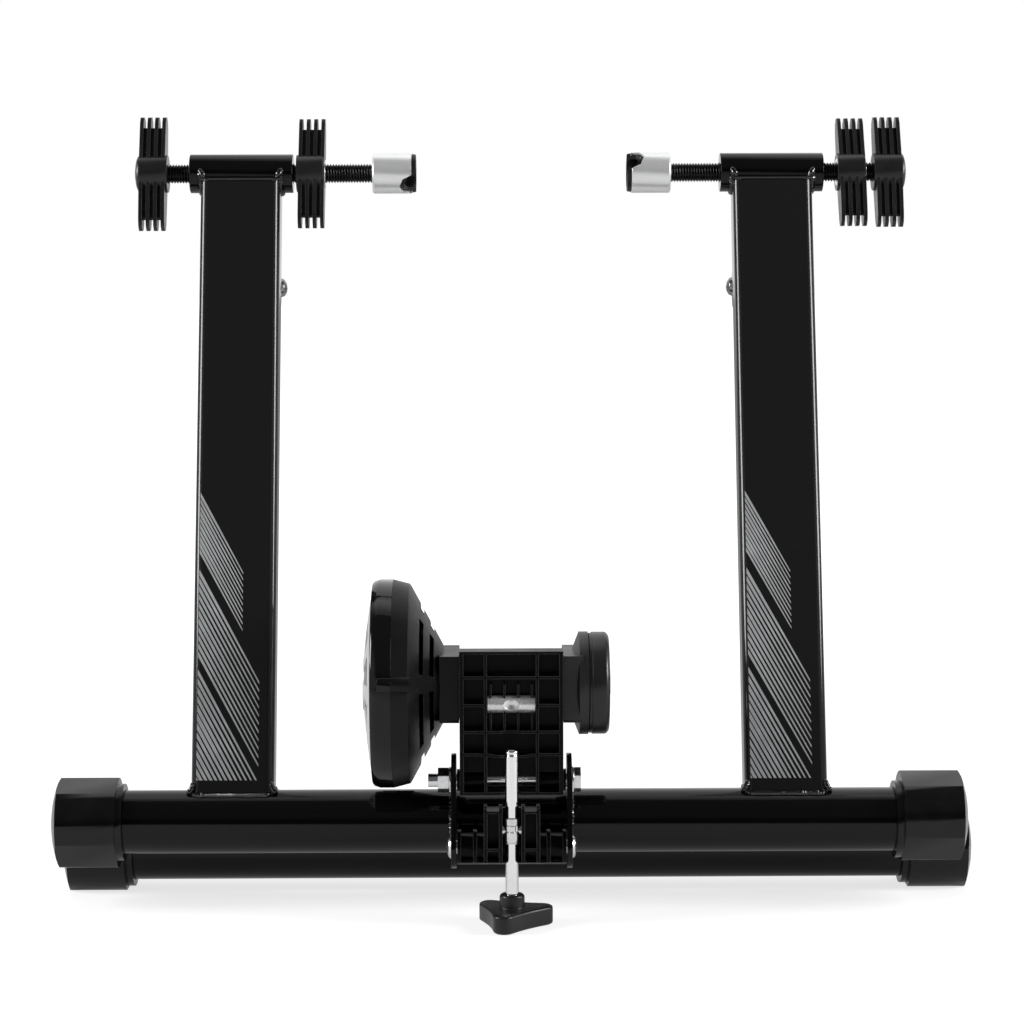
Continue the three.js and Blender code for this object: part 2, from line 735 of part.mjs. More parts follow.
function unitBracket() {
  const half = bracketWidth / 2;
  const front = -bracketFace;
  const webFront = front + ribDepth;
  const webBack = webFront + webThickness;
  const across = [-half, half];
  const web = block(across, [webFront, webBack], [-bracketDrop, bracketHeight]);
  const topRib = block(across, [front, webBack], [bracketHeight - ribThickness, bracketHeight]);
  const bottomRib = block(across, [front, webBack], [-bracketDrop, ribThickness - bracketDrop]);
  const middle = uprightRibSpacing / 2;
  const ends = [[-half, -middle], [middle, half]];
  const crossRibs = crossRibHeights.flatMap((height) => {
    const span = [height - ribThickness / 2, height + ribThickness / 2];
    const outer = ends.map((end) => block(end, [front, webBack], span));
    if (height === barrelHeight) return outer;
    if (height === crossRibHeights[0]) return [...outer, saggingRib(middle, height, front, webBack)];
    return [block(across, [front, webBack], span)];
  });
  const uprightRibs = [-1, 1].map((side) => block(
    [side * middle - ribThickness / 2, side * middle + ribThickness / 2],
    [front, webBack],
    [-bracketDrop, bracketHeight],
  ));
  const cheekOutline = new THREE.Shape([
    new THREE.Vector2(front, -bracketDrop),
    new THREE.Vector2(webBack, -bracketDrop),
    new THREE.Vector2(webBack, rotorHeight - cheekRadius),
    ...arcPoints(rotorPlace, cheekRadius, -Math.PI / 2, Math.PI / 2, 2 * arcSteps),
    new THREE.Vector2(webBack, bracketHeight - cheekTopCut),
    new THREE.Vector2(webBack, bracketHeight),
    new THREE.Vector2(front, bracketHeight),
  ]);
  const cheeks = [-1, 1].map((side) => prismX(cheekOutline, side * cheekInner, side * half));
  const hubs = [-1, 1].map((side) => (
    barX(bracketHubRadius, side * middle, side * (plateGap / 2 - fit), smallSides)
  ));
  const ribs = [topRib, bottomRib, ...crossRibs, ...uprightRibs, ...cradleRibs(webBack)];
  const body = union(web, ...ribs, ...cheeks, ...hubs);
  const bore = barX(boltRadius + fit, -plateGap, plateGap, smallSides);
  const bearingHole = barX(bearingRadius - fit, -bracketWidth, bracketWidth, mediumSides, ...rotorPlace);
  const scallop = barZ(
    rodScallopRadius,
    -bracketDrop - overrun,
    barrelHeight - cradleReachDown,
    smallSides,
    0,
    front - rodScallopRadius + rodScallopDepth,
  );
  const barrelBed = barX(barrelRadius + seat, -middle, middle, smallSides, -barrelBack, barrelHeight);
  return body.subtract(bore).subtract(bearingHole).subtract(scallop).subtract(barrelBed);
}

// The middle of the lowest cross rib, which curves down to its centre
function saggingRib(middle, height, front, back) {
  const shares = [-1, -0.5, 0, 0.5, 1];
  const edge = (offset) => shares.map((share) => (
    new THREE.Vector2(share * middle, height + offset - crossRibSag * (1 - share * share))
  ));
  const outline = new THREE.Shape([...edge(-ribThickness / 2), ...edge(ribThickness / 2).reverse()]);
  const rib = new THREE.ExtrudeGeometry(outline, { depth: back - front, bevelEnabled: false });
  return solidOf(rib.rotateX(Math.PI / 2).translate(0, back, 0));
}

// Four thin ribs that the tension seat lies in
function cradleRibs(webBack) {
  const firstPlace = -1.5 * cradleRibSpacing;
  return [0, 1, 2, 3].map((i) => {
    const place = firstPlace + i * cradleRibSpacing;
    return block(
      [place - cradleRibThickness / 2, place + cradleRibThickness / 2],
      [-cradleFront, webBack],
      [barrelHeight - cradleReachDown, barrelHeight + cradleReachUp],
    );
  });
}

function tensionSeat() {
  const barrel = barX(barrelRadius, -barrelLength / 2, barrelLength / 2, mediumSides, -barrelBack, barrelHeight);
  const dimple = new THREE.ConeGeometry(
    barrelDimpleRadius + barrelDimpleRadius * (overrun / barrelDimpleDepth),
    barrelDimpleDepth + overrun,
    smallSides,
  );
  const front = -barrelBack - barrelRadius;
  const tip = front + barrelDimpleDepth;
  dimple.translate(0, -(barrelDimpleDepth + overrun) / 2, 0).translate(0, tip, barrelHeight);
  return barrel.subtract(solidOf(dimple));
}

// A bearing neck between the bracket's cheek and a cover; side is -1 on the left
function neck(side) {
  const from = bracketWidth / 2 + fit;
  const to = from + neckWidth;
  const [low, high] = [-neckHeight / 2, neckHeight / 2];
  const front = -neckCentreForward - neckDepth / 2;
  const back = -neckCentreForward + neckDepth / 2;
  const outline = new THREE.Shape([
    [front, low + neckChamfer],
    [front + neckChamfer, low],
    [back - neckChamfer, low],
    [back, low + neckChamfer],
    [back, high - neckChamfer],
    [back - neckChamfer, high],
    [front, high],
  ].map(([y, z]) => new THREE.Vector2(y, z)));
  return prismX(outline, side * from, side * to);
}

function bearingSeat(side) {
  const from = bracketWidth / 2;
  return union(
    barX(bearingRadius + fit, side * (from - overrun), side * (from + bearingWidth + 2 * fit), mediumSides),
    barX(shaftRadius + 2 * fit, side * from, side * (from + 2 * neckWidth), smallSides),
  );
}

// A raised screw lug along the rim, at an angle from the front
function rimLug(radius, x0, x1, angle) {
  const reach = radius + lugProud - lugRadius;
  return barX(lugRadius, x0, x1, smallSides, -reach * Math.cos(angle), reach * Math.sin(angle));
}

function lugAngles() {
  return Array.from({ length: lugs }, (_, i) => shellSlotTurn + (i * 2 * Math.PI) / lugs);
}

// The cone's inner face, from its neck to its wide end
const coneInset = shellWall / Math.sin(Math.atan2(coneEndRadius - coneStartRadius, coneEnd - coneStart));
const coneInside = {
  start: coneStart + shellWall,
  startRadius: coneStartRadius - coneInset + 2 * shellWall,
  end: coneEnd + shellWall / 2,
  endRadius: coneEndRadius - shellWall,
};

// The brake housing's inner half: neck, slotted cone and rim. Left of the unit, so X runs outwards as -X.
function brakeBackShell() {
  const cone = turnX([
    [-coneStart, shaftRadius],
    [-coneStart, coneStartRadius],
    [-coneEnd, coneEndRadius],
    [-coneEnd - shellWall / 2, shellShoulderRadius],
    [-shellRimEnd, shellRimRadius],
    [-shellRimEnd, shellRimRadius - shellWall],
    [-coneEnd - shellWall, shellShoulderRadius - shellWall],
    [-coneInside.end, coneInside.endRadius],
    [-coneInside.start, coneInside.startRadius],
    [-coneInside.start, shaftRadius],
    [-coneStart, shaftRadius],
  ], fineSides);
  const pitch = (2 * Math.PI) / shellSlots;
  const slots = shellSlotShares.flatMap((share) => {
    const place = coneEnd - share * (coneEnd - coneStart);
    const radius = coneEndRadius - share * (coneEndRadius - coneStartRadius);
    return Array.from({ length: shellSlots }, (_, i) => {
      const middle = shellSlotTurn + (i + 0.5) * pitch;
      const sector = ringSector(
        radius - 3 * shellWall,
        radius + 3 * shellWall,
        middle - shellSlotHalfAngle,
        middle + shellSlotHalfAngle,
      );
      return prismX(sector, -place - shellSlotWidth / 2, -place + shellSlotWidth / 2);
    });
  });
  const lugBars = lugAngles().map((angle) => rimLug(shellRimRadius, -coneEnd, -shellRimEnd, angle));
  const body = union(cone, neck(-1), ...lugBars);
  return body.subtract(union(...slots)).subtract(bearingSeat(-1));
}

// The glossy outer half of the housing, open in the middle for the face cover
function brakeRimCover() {
  const start = shellRimEnd + seat;
  const lip = faceRadius + fit;
  const rim = turnX([
    [-start, shellRimRadius - shellWall],
    [-start, shellRimRadius],
    [-coverRimEnd + 2 * shellWall, shellRimRadius],
    [-coverRimEnd + shellWall / 2, coverEdgeRadius],
    [-coverRimEnd, coverEdgeRadius - shellWall / 2],
    [-coverRimEnd, lip],
    [-coverRimEnd + shellWall, lip],
    [-coverRimEnd + shellWall, coverEdgeRadius - 1.5 * shellWall],
    [-coverRimEnd + 2 * shellWall, shellRimRadius - shellWall],
    [-start, shellRimRadius - shellWall],
  ], fineSides);
  const lugEnd = coverRimEnd - 2 * shellWall;
  return union(rim, ...lugAngles().map((angle) => rimLug(shellRimRadius, -start, -lugEnd, angle)));
}

// The domed face with its ring of windows
function brakeFaceCover() {
  const bulge = (share) => faceBulge * (1 - share * share);
  const shares = [1, 0.8, 0.6, 0.4, 0.2, 0];
  const outside = shares.map((share) => [-coverRimEnd - bulge(share), faceRadius * share]);
  const inside = [...shares].reverse().map((share) => [
    -coverRimEnd - bulge(share) + faceThickness,
    faceRadius * share,
  ]);
  const dome = turnX([...inside, ...outside], fineSides);
  const pitch = (2 * Math.PI) / faceWindows;
  const windows = Array.from({ length: faceWindows }, (_, i) => {
    const middle = (i + 0.5) * pitch;
    const half = (faceWindowShare * pitch) / 2;
    const sector = ringSector(faceWindowInner, faceWindowOuter, middle - half, middle + half);
    return prismX(sector, -coverRimEnd - faceBulge - overrun, -coverRimEnd + faceThickness + overrun);
  });
  const hub = barX(faceHubRadius, -coverRimEnd - faceBulge - seat, -coverRimEnd - faceBulge + faceThickness, mediumSides);
  return dome.subtract(union(...windows)).add(hub);
}

// The dished plate that carries the magnets; its rim rests inside the cone
function magnetPlate() {
  const share = (magnetPlateEnd - coneInside.start) / (coneInside.end - coneInside.start);
  const rimRadius = THREE.MathUtils.lerp(coneInside.startRadius, coneInside.endRadius, share) - 2 * fit;
  return turnX([
    [-magnetPlateStart, magnetPlateInner],
    [-magnetPlateStart, magnetDishRadius],
    [-magnetPlateEnd, rimRadius],
    [-magnetPlateEnd - magnetPlateThickness, rimRadius],
    [-magnetPlateStart - magnetPlateThickness, magnetDishRadius],
    [-magnetPlateStart - magnetPlateThickness, magnetPlateInner],
    [-magnetPlateStart, magnetPlateInner],
  ], largeSides);
}

function bearing(side) {
  const from = bracketWidth / 2 + fit;
  return ringX(bearingRadius, shaftRadius + seat, side * from, side * (from + bearingWidth), mediumSides);
}

function bearingCover() {
  const collarEnd = coverFlangeEnd + coverCollarLength;
  const disc = turnX([
    [coverConeStart, shaftRadius],
    [coverConeStart, coverConeRadius],
    [coverConeEnd, coverFlangeRadius],
    [coverFlangeEnd, coverFlangeRadius],
    [coverFlangeEnd, coverCollarRadius],
    [collarEnd, coverCollarRadius],
    [collarEnd, shaftRadius],
    [coverConeStart, shaftRadius],
  ], largeSides);
  const shaftHole = barX(shaftRadius + 2 * fit, 0, collarEnd + overrun, smallSides);
  return union(disc, neck(1)).subtract(bearingSeat(1)).subtract(shaftHole);
}

// Rotor, about its own axis

const leftShaftEnd = brakeDiscPlace + brakeDiscThickness + shaftNutHeight + seat + shaftNutHeight / 2;
const rightShaftEnd = flywheelEnd - flywheelDish + seat + shaftNutHeight;

function rollerShaft() {
  return barX(shaftRadius, -leftShaftEnd, rightShaftEnd, smallSides);
}

function roller() {
  const half = rollerLength / 2;
  return turnX([
    [-half, shaftRadius + seat],
    [-half, rollerRadius - rollerCrown],
    [-half + rollerCrown, rollerRadius],
    [half - rollerCrown, rollerRadius],
    [half, rollerRadius - rollerCrown],
    [half, shaftRadius + seat],
    [-half, shaftRadius + seat],
  ], mediumSides);
}

function brakeDisc() {
  const inner = brakeDiscPlace;
  const outer = brakeDiscPlace + brakeDiscThickness;
  const bore = shaftRadius + seat;
  const hubEnd = outer - brakeHubLength;
  return turnX([
    [-outer, bore],
    [-outer, brakeDiscRadius],
    [-inner, brakeDiscRadius],
    [-inner, brakeHubRadius],
    [-hubEnd, brakeHubRadius],
    [-hubEnd, bore],
    [-outer, bore],
  ], largeSides);
}

function flywheel() {
  const bore = shaftRadius + seat;
  return turnX([
    [flywheelStart, bore],
    [flywheelStart, flywheelRadius],
    [flywheelEnd - flywheelRound, flywheelRadius],
    [flywheelEnd - flywheelRound / 2, flywheelRadius - flywheelRound / 3],
    [flywheelEnd, flywheelRadius - flywheelRound],
    [flywheelEnd, flywheelDishRadius],
    [flywheelEnd - flywheelDish, flywheelDishRadius - flywheelDish],
    [flywheelEnd - flywheelDish, bore],
    [flywheelStart, bore],
  ], largeSides);
}

function shaftNut(start) {
  const nut = barX(hexRadius(shaftNutAcrossFlats), start, start + shaftNutHeight, 6);
  return nut.subtract(barX(shaftRadius + seat, start - overrun, start + shaftNutHeight + overrun, smallSides));
}

// Yoke and tension screw, measured from the yoke's pivot

function yoke() {
  const half = yokeWidth / 2;
  const hub = barX(yokeHubRadius, -half, half, smallSides);
  const shell = prismX(ringSector(yokeRimRadius - yokeShellWall, yokeRimRadius, yokeShellFrom, yokeShellTo), -half, half);
  const rimPlaces = [half - yokeRimThickness / 2, yokeInnerRimSpacing / 2];
  const rims = rimPlaces.flatMap((place) => [-place, place]).map((place) => (
    barX(yokeRimRadius, place - yokeRimThickness / 2, place + yokeRimThickness / 2, smallSides)
  ));
  const ear = new THREE.Shape([
    new THREE.Vector2(0, -yokeRimRadius),
    ...arcPoints([-yokeEarFront + yokeEarCorner, -yokeEarToe + yokeEarCorner], yokeEarCorner, 1.5 * Math.PI, Math.PI, 2),
    ...arcPoints([-yokeEarFront + yokeEarCorner, yokeEarTop - yokeEarCorner], yokeEarCorner, Math.PI, Math.PI / 2, 2),
    new THREE.Vector2(-yokeEarBack, yokeEarTop),
    new THREE.Vector2(yokeHubRadius, yokeHubRadius),
    new THREE.Vector2(yokeRimRadius, 0),
  ]);
  const earPlaces = [yokeInnerEarSpacing / 2, yokeOuterEarSpacing / 2].flatMap((place) => [-place, place]);
  const ears = earPlaces.map((place) => (
    prismX(ear, place - yokeEarThickness / 2, place + yokeEarThickness / 2)
  ));
  const ties = [-1, 1].flatMap((side) => [yokeTieTop, yokeTieBottom].map((height) => (
    block(
      [side * yokeInnerEarSpacing / 2, side * yokeOuterEarSpacing / 2].sort((a, b) => a - b),
      [-yokeEarFront, -yokeEarFront + yokeTieDepth],
      [height - yokeTieThickness, height],
    )
  )));
  const back = block(
    [-yokeOuterEarSpacing / 2, yokeOuterEarSpacing / 2],
    [-yokeEarBack, -yokeEarBack + yokeTieThickness],
    [0, yokeTieTop],
  );
  const bore = barX(boltRadius + fit, -yokeWidth, yokeWidth, smallSides);
  const pinHoles = barX(
    nutTrunnionRadius + seat,
    -(nutBlockWidth / 2 + nutTrunnionReach + seat),
    nutBlockWidth / 2 + nutTrunnionReach + seat,
    smallSides,
    -rodForward,
    (nutTop + nutBottom) / 2,
  );
  return union(hub, shell, ...rims, ...ears, ...ties, back).subtract(bore).subtract(pinHoles);
}

// The steel nut that the rod runs through, about the rod's axis
function tensionNut() {
  const height = nutTop - nutBottom;
  const radius = nutBlockWidth / 2;
  const washerTop = nutBottom + height * 0.14;
  const groove = nutBottom + height * 0.2;
  const collar = nutBottom + height * 0.5;
  const waist = nutBottom + height * 0.8;
  const bore = rodRadius + seat;
  const body = turnZ([
    [bore, nutBottom],
    [radius, nutBottom],
    [radius, washerTop],
    [radius * 0.86, washerTop],
    [radius * 0.86, groove],
    [radius, groove],
    [radius, collar],
    [radius * 0.92, collar],
    [radius * 0.92, waist],
    [radius, waist],
    [radius, nutTop],
    [bore, nutTop],
    [bore, nutBottom],
  ], mediumSides);
  const pins = barX(
    nutTrunnionRadius,
    -(radius + nutTrunnionReach),
    radius + nutTrunnionReach,
    smallSides,
    0,
    (nutTop + nutBottom) / 2,
  );
  return body.add(pins).subtract(barZ(bore, nutBottom - overrun, nutTop + overrun, mediumSides));
}

// The folded trainer stands on the leg frame's caps and on this knob's foot
const legBarHeight = -foldedBarDrop * Math.cos(frameLean) - foldedBarSetback * Math.sin(frameLean);
const capFlatReach = capRadius * Math.cos(capFlatHalfAngle) - capOffset * Math.sin(legCapTurn);
const floorLevel = legBarHeight - capFlatReach;
const knobFoot = floorLevel + yokePivotDrop;
const knobTop = knobFoot + tensionKnobHeight;

function tensionKnob() {
  const reach = lobeReach - lobeRadius;
  const pitch = (2 * Math.PI) / lobes;
  const outline = new THREE.Shape();
  Array.from({ length: lobes }, (_, i) => {
    const heading = -lobeTurn + i * pitch;
    const centre = [reach * Math.cos(heading), reach * Math.sin(heading)];
    const lobe = arcPoints(centre, lobeRadius - tensionKnobBevel, heading - pitch / 2, heading + pitch / 2);
    if (i === 0) outline.moveTo(lobe[0].x, lobe[0].y);
    lobe.forEach((point) => outline.lineTo(point.x, point.y));
    const waist = heading + pitch / 2;
    const next = heading + pitch;
    const start = arcPoints([reach * Math.cos(next), reach * Math.sin(next)], lobeRadius - tensionKnobBevel, next - pitch / 2, next)[0];
    const waistReach = (reach * Math.cos(pitch / 2) + lobeRadius - tensionKnobBevel) * lobeWaistShare;
    outline.quadraticCurveTo(waistReach * Math.cos(waist), waistReach * Math.sin(waist), start.x, start.y);
  });
  const body = new THREE.ExtrudeGeometry(outline, {
    depth: tensionKnobHeight - 2 * tensionKnobBevel,
    bevelSize: tensionKnobBevel,
    bevelThickness: tensionKnobBevel,
    bevelSegments: 2,
    curveSegments: arcSteps,
  });
  const hubTop = knobTop + tensionHubHeight;
  const hub = turnZ([
    [0, knobTop - overrun],
    [tensionHubRadius, knobTop - overrun],
    [tensionHubRadius, hubTop - tensionHubRound],
    [tensionHubRadius - tensionHubRound / 3, hubTop - tensionHubRound / 3],
    [tensionHubRadius - tensionHubRound, hubTop],
    [0, hubTop],
  ], mediumSides);
  const bore = barZ(rodRadius + seat, hubTop - tensionGrip, hubTop + overrun, smallSides);
  return solidOf(body.translate(0, 0, knobFoot + tensionKnobBevel)).add(hub).subtract(bore);
}

function tensionRod() {
  return barZ(rodRadius, knobTop + tensionHubHeight - tensionGrip + seat, rodTop - rodTipHeight, smallSides);
}

function rodTip() {
  return turnZ([
    [0, rodTop - rodTipHeight + seat],
    [rodRadius, rodTop - rodTipHeight + seat],
    [rodRadius, rodTop - rodTipRound],
    [rodRadius - rodTipRound, rodTop],
    [0, rodTop],
  ], smallSides);
}

// Assembly

const trainer = new THREE.Group();
trainer.name = 'trainer';

function addGroup(parent, x, y, z) {
  const group = new THREE.Group();
  group.position.set(x, y, z);
  parent.add(group);
  return group;
}

const leaning = addGroup(trainer, 0, 0, 0);
leaning.rotation.x = -frameLean;
const leftAndRight = [['left', -1], ['right', 1]];

addPiece(leaning, 'main_tube', bottomTube(mainSpan), glossBlack);
for (const [name, side] of leftAndRight) {
  const stand = addGroup(leaning, (side * uprightSpacing) / 2, 0, 0);
  addPiece(stand, `${name}_upright`, upright(), glossBlack);
  addPiece(addGroup(stand, 0, 0, clampHeight), `${name}_clamp_sleeve`, clampSleeve(), glossBlack);
  addPiece(stand, `${name}_fold_bracket`, foldBracket(), glossBlack);
  addPiece(stand, `${name}_fold_pin`, foldPin(side), plating);
  const hanging = addGroup(stand, 0, foldPivotSetback, foldPivotHeight);
  hanging.rotation.x = legTilt;
  addPiece(hanging, `${name}_leg`, leg(), glossBlack);
}
addPiece(leaning, 'main_left_foot_cap', footCap(-1, mainSpan, mainLeftCapTurn), satinBlack);
addPiece(leaning, 'main_right_foot_cap', footCap(1, mainSpan, mainRightCapTurn), satinBlack);

// The leg tube's caps stand on one flat each, so they are turned back by the frame's lean
const legBar = addGroup(leaning, legBarShift, foldedBarSetback, -foldedBarDrop);
legBar.rotation.x = frameLean;
addPiece(legBar, 'leg_tube', bottomTube(legSpan), glossBlack);
addPiece(legBar, 'leg_left_foot_cap', footCap(-1, legSpan, legCapTurn), satinBlack);
addPiece(legBar, 'leg_right_foot_cap', footCap(1, legSpan, legCapTurn), satinBlack);

const clamps = [
  {
    name: 'left',
    mouth: leftCupMouth,
    notch: leftNotchTurn,
    end: leftEndKnobPlace,
    endTurn: leftEndTurn,
    lock: leftLockPlace,
    lockTurn: leftLockTurn,
    lockFacesOut: true,
  },
  {
    name: 'right',
    mouth: rightCupMouth,
    notch: rightNotchTurn,
    end: rightEndKnobPlace,
    endTurn: rightEndTurn,
    lock: rightLockPlace,
    lockTurn: rightLockTurn,
    lockFacesOut: false,
  },
];
for (const clamp of clamps) {
  const axis = addGroup(leaning, 0, 0, clampHeight);
  // A half turn about Z makes +X run outwards on the left as well
  const flipped = clamp.name === 'left' ? Math.PI : 0;
  axis.rotation.z = flipped;
  const forward = clamp.name === 'left' ? Math.PI - clamp.notch : clamp.notch;
  const cup = addGroup(axis, clamp.mouth, 0, 0);
  addPiece(cup, `${clamp.name}_axle_cup`, axleCup(forward), aluminium);
  addPiece(cup, `${clamp.name}_cup_liner`, cupLiner(forward), satinBlack);
  const spindleStart = clamp.mouth + cupLength - cupFloor / 2 + seat;
  const spindleEnd = clamp.end + knobGrip - seat;
  addPiece(axis, `${clamp.name}_spindle`, spindle(spindleStart, spindleEnd), plating);
  const end = addGroup(axis, clamp.end, 0, 0);
  end.rotation.x = clamp.name === 'left' ? clamp.endTurn : -clamp.endTurn;
  addPiece(end, `${clamp.name}_end_knob`, endKnob(), satinBlack);
  const lock = addGroup(axis, clamp.lock, 0, 0);
  if (clamp.lockFacesOut) lock.rotation.z = Math.PI;
  const lean = clamp.name === 'left' !== clamp.lockFacesOut ? clamp.lockTurn : -clamp.lockTurn;
  const wings = addGroup(lock, 0, 0, 0);
  wings.rotation.x = lean;
  addPiece(lock, `${clamp.name}_lock_insert`, lockInsert(), plating);
  addPiece(wings, `${clamp.name}_lock_knob`, lockKnob(), satinBlack);
}

const middle = addGroup(trainer, unitShift, 0, 0);
const rightPlate = addPiece(middle, 'right_unit_plate', unitPlate(), glossBlack);
const leftPlate = addPiece(middle, 'left_unit_plate', unitPlate(), glossBlack);
rightPlate.position.x = 0;
leftPlate.position.x = -plateGap - plateThickness;

const unit = addGroup(middle, 0, -unitPivotForward, unitPivotHeight);
addPiece(unit, 'unit_pivot_bolt', pivotBolt(), plating);
addPiece(unit, 'unit_pivot_nut', pivotNut(), plating);
addPiece(unit, 'right_pivot_washer', washer(), plating);
const leftWasher = addPiece(unit, 'left_pivot_washer', washer(), plating);
leftWasher.rotation.z = Math.PI;
addPiece(unit, 'unit_bracket', unitBracket(), satinBlack);
addPiece(unit, 'tension_seat', tensionSeat(), plating);

const rotor = addGroup(unit, 0, ...rotorPlace);
addPiece(rotor, 'brake_back_shell', brakeBackShell(), mattBlack);
addPiece(rotor, 'brake_rim_cover', brakeRimCover(), glossBlack);
addPiece(rotor, 'brake_face_cover', brakeFaceCover(), aluminium);
addPiece(rotor, 'magnet_plate', magnetPlate(), darkSteel);
addPiece(rotor, 'left_bearing', bearing(-1), plating);
addPiece(rotor, 'right_bearing', bearing(1), plating);
addPiece(rotor, 'bearing_cover', bearingCover(), mattBlack);
addPiece(rotor, 'roller_shaft', rollerShaft(), plating);
addPiece(rotor, 'roller', roller(), aluminium);
addPiece(rotor, 'brake_disc', brakeDisc(), aluminium);
addPiece(rotor, 'flywheel', flywheel(), glossBlack);
addPiece(rotor, 'left_shaft_nut', shaftNut(-leftShaftEnd + shaftNutHeight / 2), plating);
addPiece(rotor, 'right_shaft_nut', shaftNut(rightShaftEnd - shaftNutHeight), plating);

const tension = addGroup(middle, 0, -yokePivotForward, -yokePivotDrop);
addPiece(tension, 'yoke_bolt', yokeBolt(), plating);
addPiece(tension, 'yoke_bolt_nut', yokeNut(), plating);
addPiece(tension, 'yoke', yoke(), satinBlack);
const screw = addGroup(tension, 0, -rodForward, 0);
addPiece(screw, 'tension_nut', tensionNut(), plating);
addPiece(screw, 'tension_rod', tensionRod(), plating);
addPiece(screw, 'rod_tip', rodTip(), plating);
addPiece(screw, 'tension_knob', tensionKnob(), satinBlack);

// The origin is the middle of the footprint, on the floor
trainer.updateMatrixWorld(true);
const extent = new THREE.Box3().setFromObject(trainer, true);
const centre = extent.getCenter(new THREE.Vector3());
trainer.position.set(-centre.x, -centre.y, -extent.min.z);

export default trainer;
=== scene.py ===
"""Looks for the folded bike trainer: materials, threads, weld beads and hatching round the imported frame.

Lengths are in millimetres, and mm() turns them into Blender's metres, except where a comment says otherwise.
"""
import json
import math
import random

import bmesh
import bpy
from mathutils import Matrix, Vector


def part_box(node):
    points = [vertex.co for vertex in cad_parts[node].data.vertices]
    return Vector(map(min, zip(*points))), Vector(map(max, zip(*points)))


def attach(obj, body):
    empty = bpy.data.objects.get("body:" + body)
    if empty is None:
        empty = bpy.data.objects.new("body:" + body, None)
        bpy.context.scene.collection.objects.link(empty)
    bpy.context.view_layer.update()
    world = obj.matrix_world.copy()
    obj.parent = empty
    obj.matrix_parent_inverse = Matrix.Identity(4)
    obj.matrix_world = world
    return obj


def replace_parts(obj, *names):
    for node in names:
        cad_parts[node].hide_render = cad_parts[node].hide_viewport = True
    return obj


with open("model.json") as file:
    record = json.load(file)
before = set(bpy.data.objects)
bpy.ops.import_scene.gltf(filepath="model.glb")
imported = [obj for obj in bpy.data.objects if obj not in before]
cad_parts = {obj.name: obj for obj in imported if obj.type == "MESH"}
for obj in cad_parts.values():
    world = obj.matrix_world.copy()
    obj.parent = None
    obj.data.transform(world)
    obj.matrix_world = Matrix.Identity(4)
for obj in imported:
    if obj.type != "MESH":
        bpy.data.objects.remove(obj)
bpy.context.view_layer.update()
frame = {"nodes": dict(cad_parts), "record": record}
nodes = frame["nodes"]
slots = {entry["node"]: entry["material_slot"] for entry in frame["record"]["subparts"]}

MM = 0.001


def mm(*values):
    return Vector(values) * MM


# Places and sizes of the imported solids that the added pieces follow
LEAN = math.radians(16.5)
TUBE_RADIUS = 19.0
UPRIGHT_WIDTH, UPRIGHT_DEPTH, UPRIGHT_CORNER = 49.3, 25.0, 5.0
UPRIGHT_TOP = 395.8
SLEEVE_RADIUS, SLEEVE_HEIGHT = 12.0, 403.0
PLATE_FACE = 35.25
COARSE_PITCH, COARSE_DEPTH = 1.75, 0.95
FINE_PITCH, FINE_DEPTH = 1.25, 0.02


# Shader helpers; a band is the pair of values that a remap spreads out

def shader(name, color, rough, metal=0.0, spec=0.5):
    mat = bpy.data.materials.new(name)
    mat.use_nodes = True
    tree = mat.node_tree
    tree.nodes.clear()
    out = tree.nodes.new("ShaderNodeOutputMaterial")
    bsdf = tree.nodes.new("ShaderNodeBsdfPrincipled")
    tree.links.new(bsdf.outputs[0], out.inputs[0])
    bsdf.inputs["Base Color"].default_value = (*color, 1)
    bsdf.inputs["Roughness"].default_value = rough
    bsdf.inputs["Metallic"].default_value = metal
    bsdf.inputs["Specular IOR Level"].default_value = spec
    return mat, tree, bsdf


def noise(tree, scale, detail=3.0, rough=0.55, stretch=(1, 1, 1)):
    place = tree.nodes.new("ShaderNodeTexCoord")
    mapping = tree.nodes.new("ShaderNodeMapping")
    mapping.inputs["Scale"].default_value = stretch
    tree.links.new(place.outputs["Object"], mapping.inputs["Vector"])
    node = tree.nodes.new("ShaderNodeTexNoise")
    node.inputs["Scale"].default_value = scale
    node.inputs["Detail"].default_value = detail
    node.inputs["Roughness"].default_value = rough
    tree.links.new(mapping.outputs[0], node.inputs["Vector"])
    return node.outputs["Fac"]


def remap(tree, value, band, to_low, to_high, smooth=False):
    node = tree.nodes.new("ShaderNodeMapRange")
    if smooth:
        node.interpolation_type = "SMOOTHSTEP"
    tree.links.new(value, node.inputs["Value"])
    for key, number in zip(("From Min", "From Max", "To Min", "To Max"), (*band, to_low, to_high)):
        node.inputs[key].default_value = number
    return node.outputs[0]


def calculate(tree, operation, a, b=None):
    node = tree.nodes.new("ShaderNodeMath")
    node.operation = operation
    for socket, value in zip(node.inputs, (a, b)):
        if isinstance(value, float):
            socket.default_value = value
        elif value is not None:
            tree.links.new(value, socket)
    return node.outputs[0]


def mix(tree, factor, a, b):
    node = tree.nodes.new("ShaderNodeMix")
    node.data_type = "RGBA"
    tree.links.new(factor, node.inputs["Factor"])
    for socket, value in ((node.inputs["A"], a), (node.inputs["B"], b)):
        if isinstance(value, tuple):
            socket.default_value = (*value, 1)
        else:
            tree.links.new(value, socket)
    return node.outputs["Result"]


def bump(tree, bsdf, height, strength, distance, below=None):
    """Relief of the surface; the distance is in metres."""
    node = tree.nodes.new("ShaderNodeBump")
    node.inputs["Strength"].default_value = strength
    node.inputs["Distance"].default_value = distance
    tree.links.new(height, node.inputs["Height"])
    if below is not None:
        tree.links.new(below, node.inputs["Normal"])
    tree.links.new(node.outputs[0], bsdf.inputs["Normal"])
    return node.outputs[0]


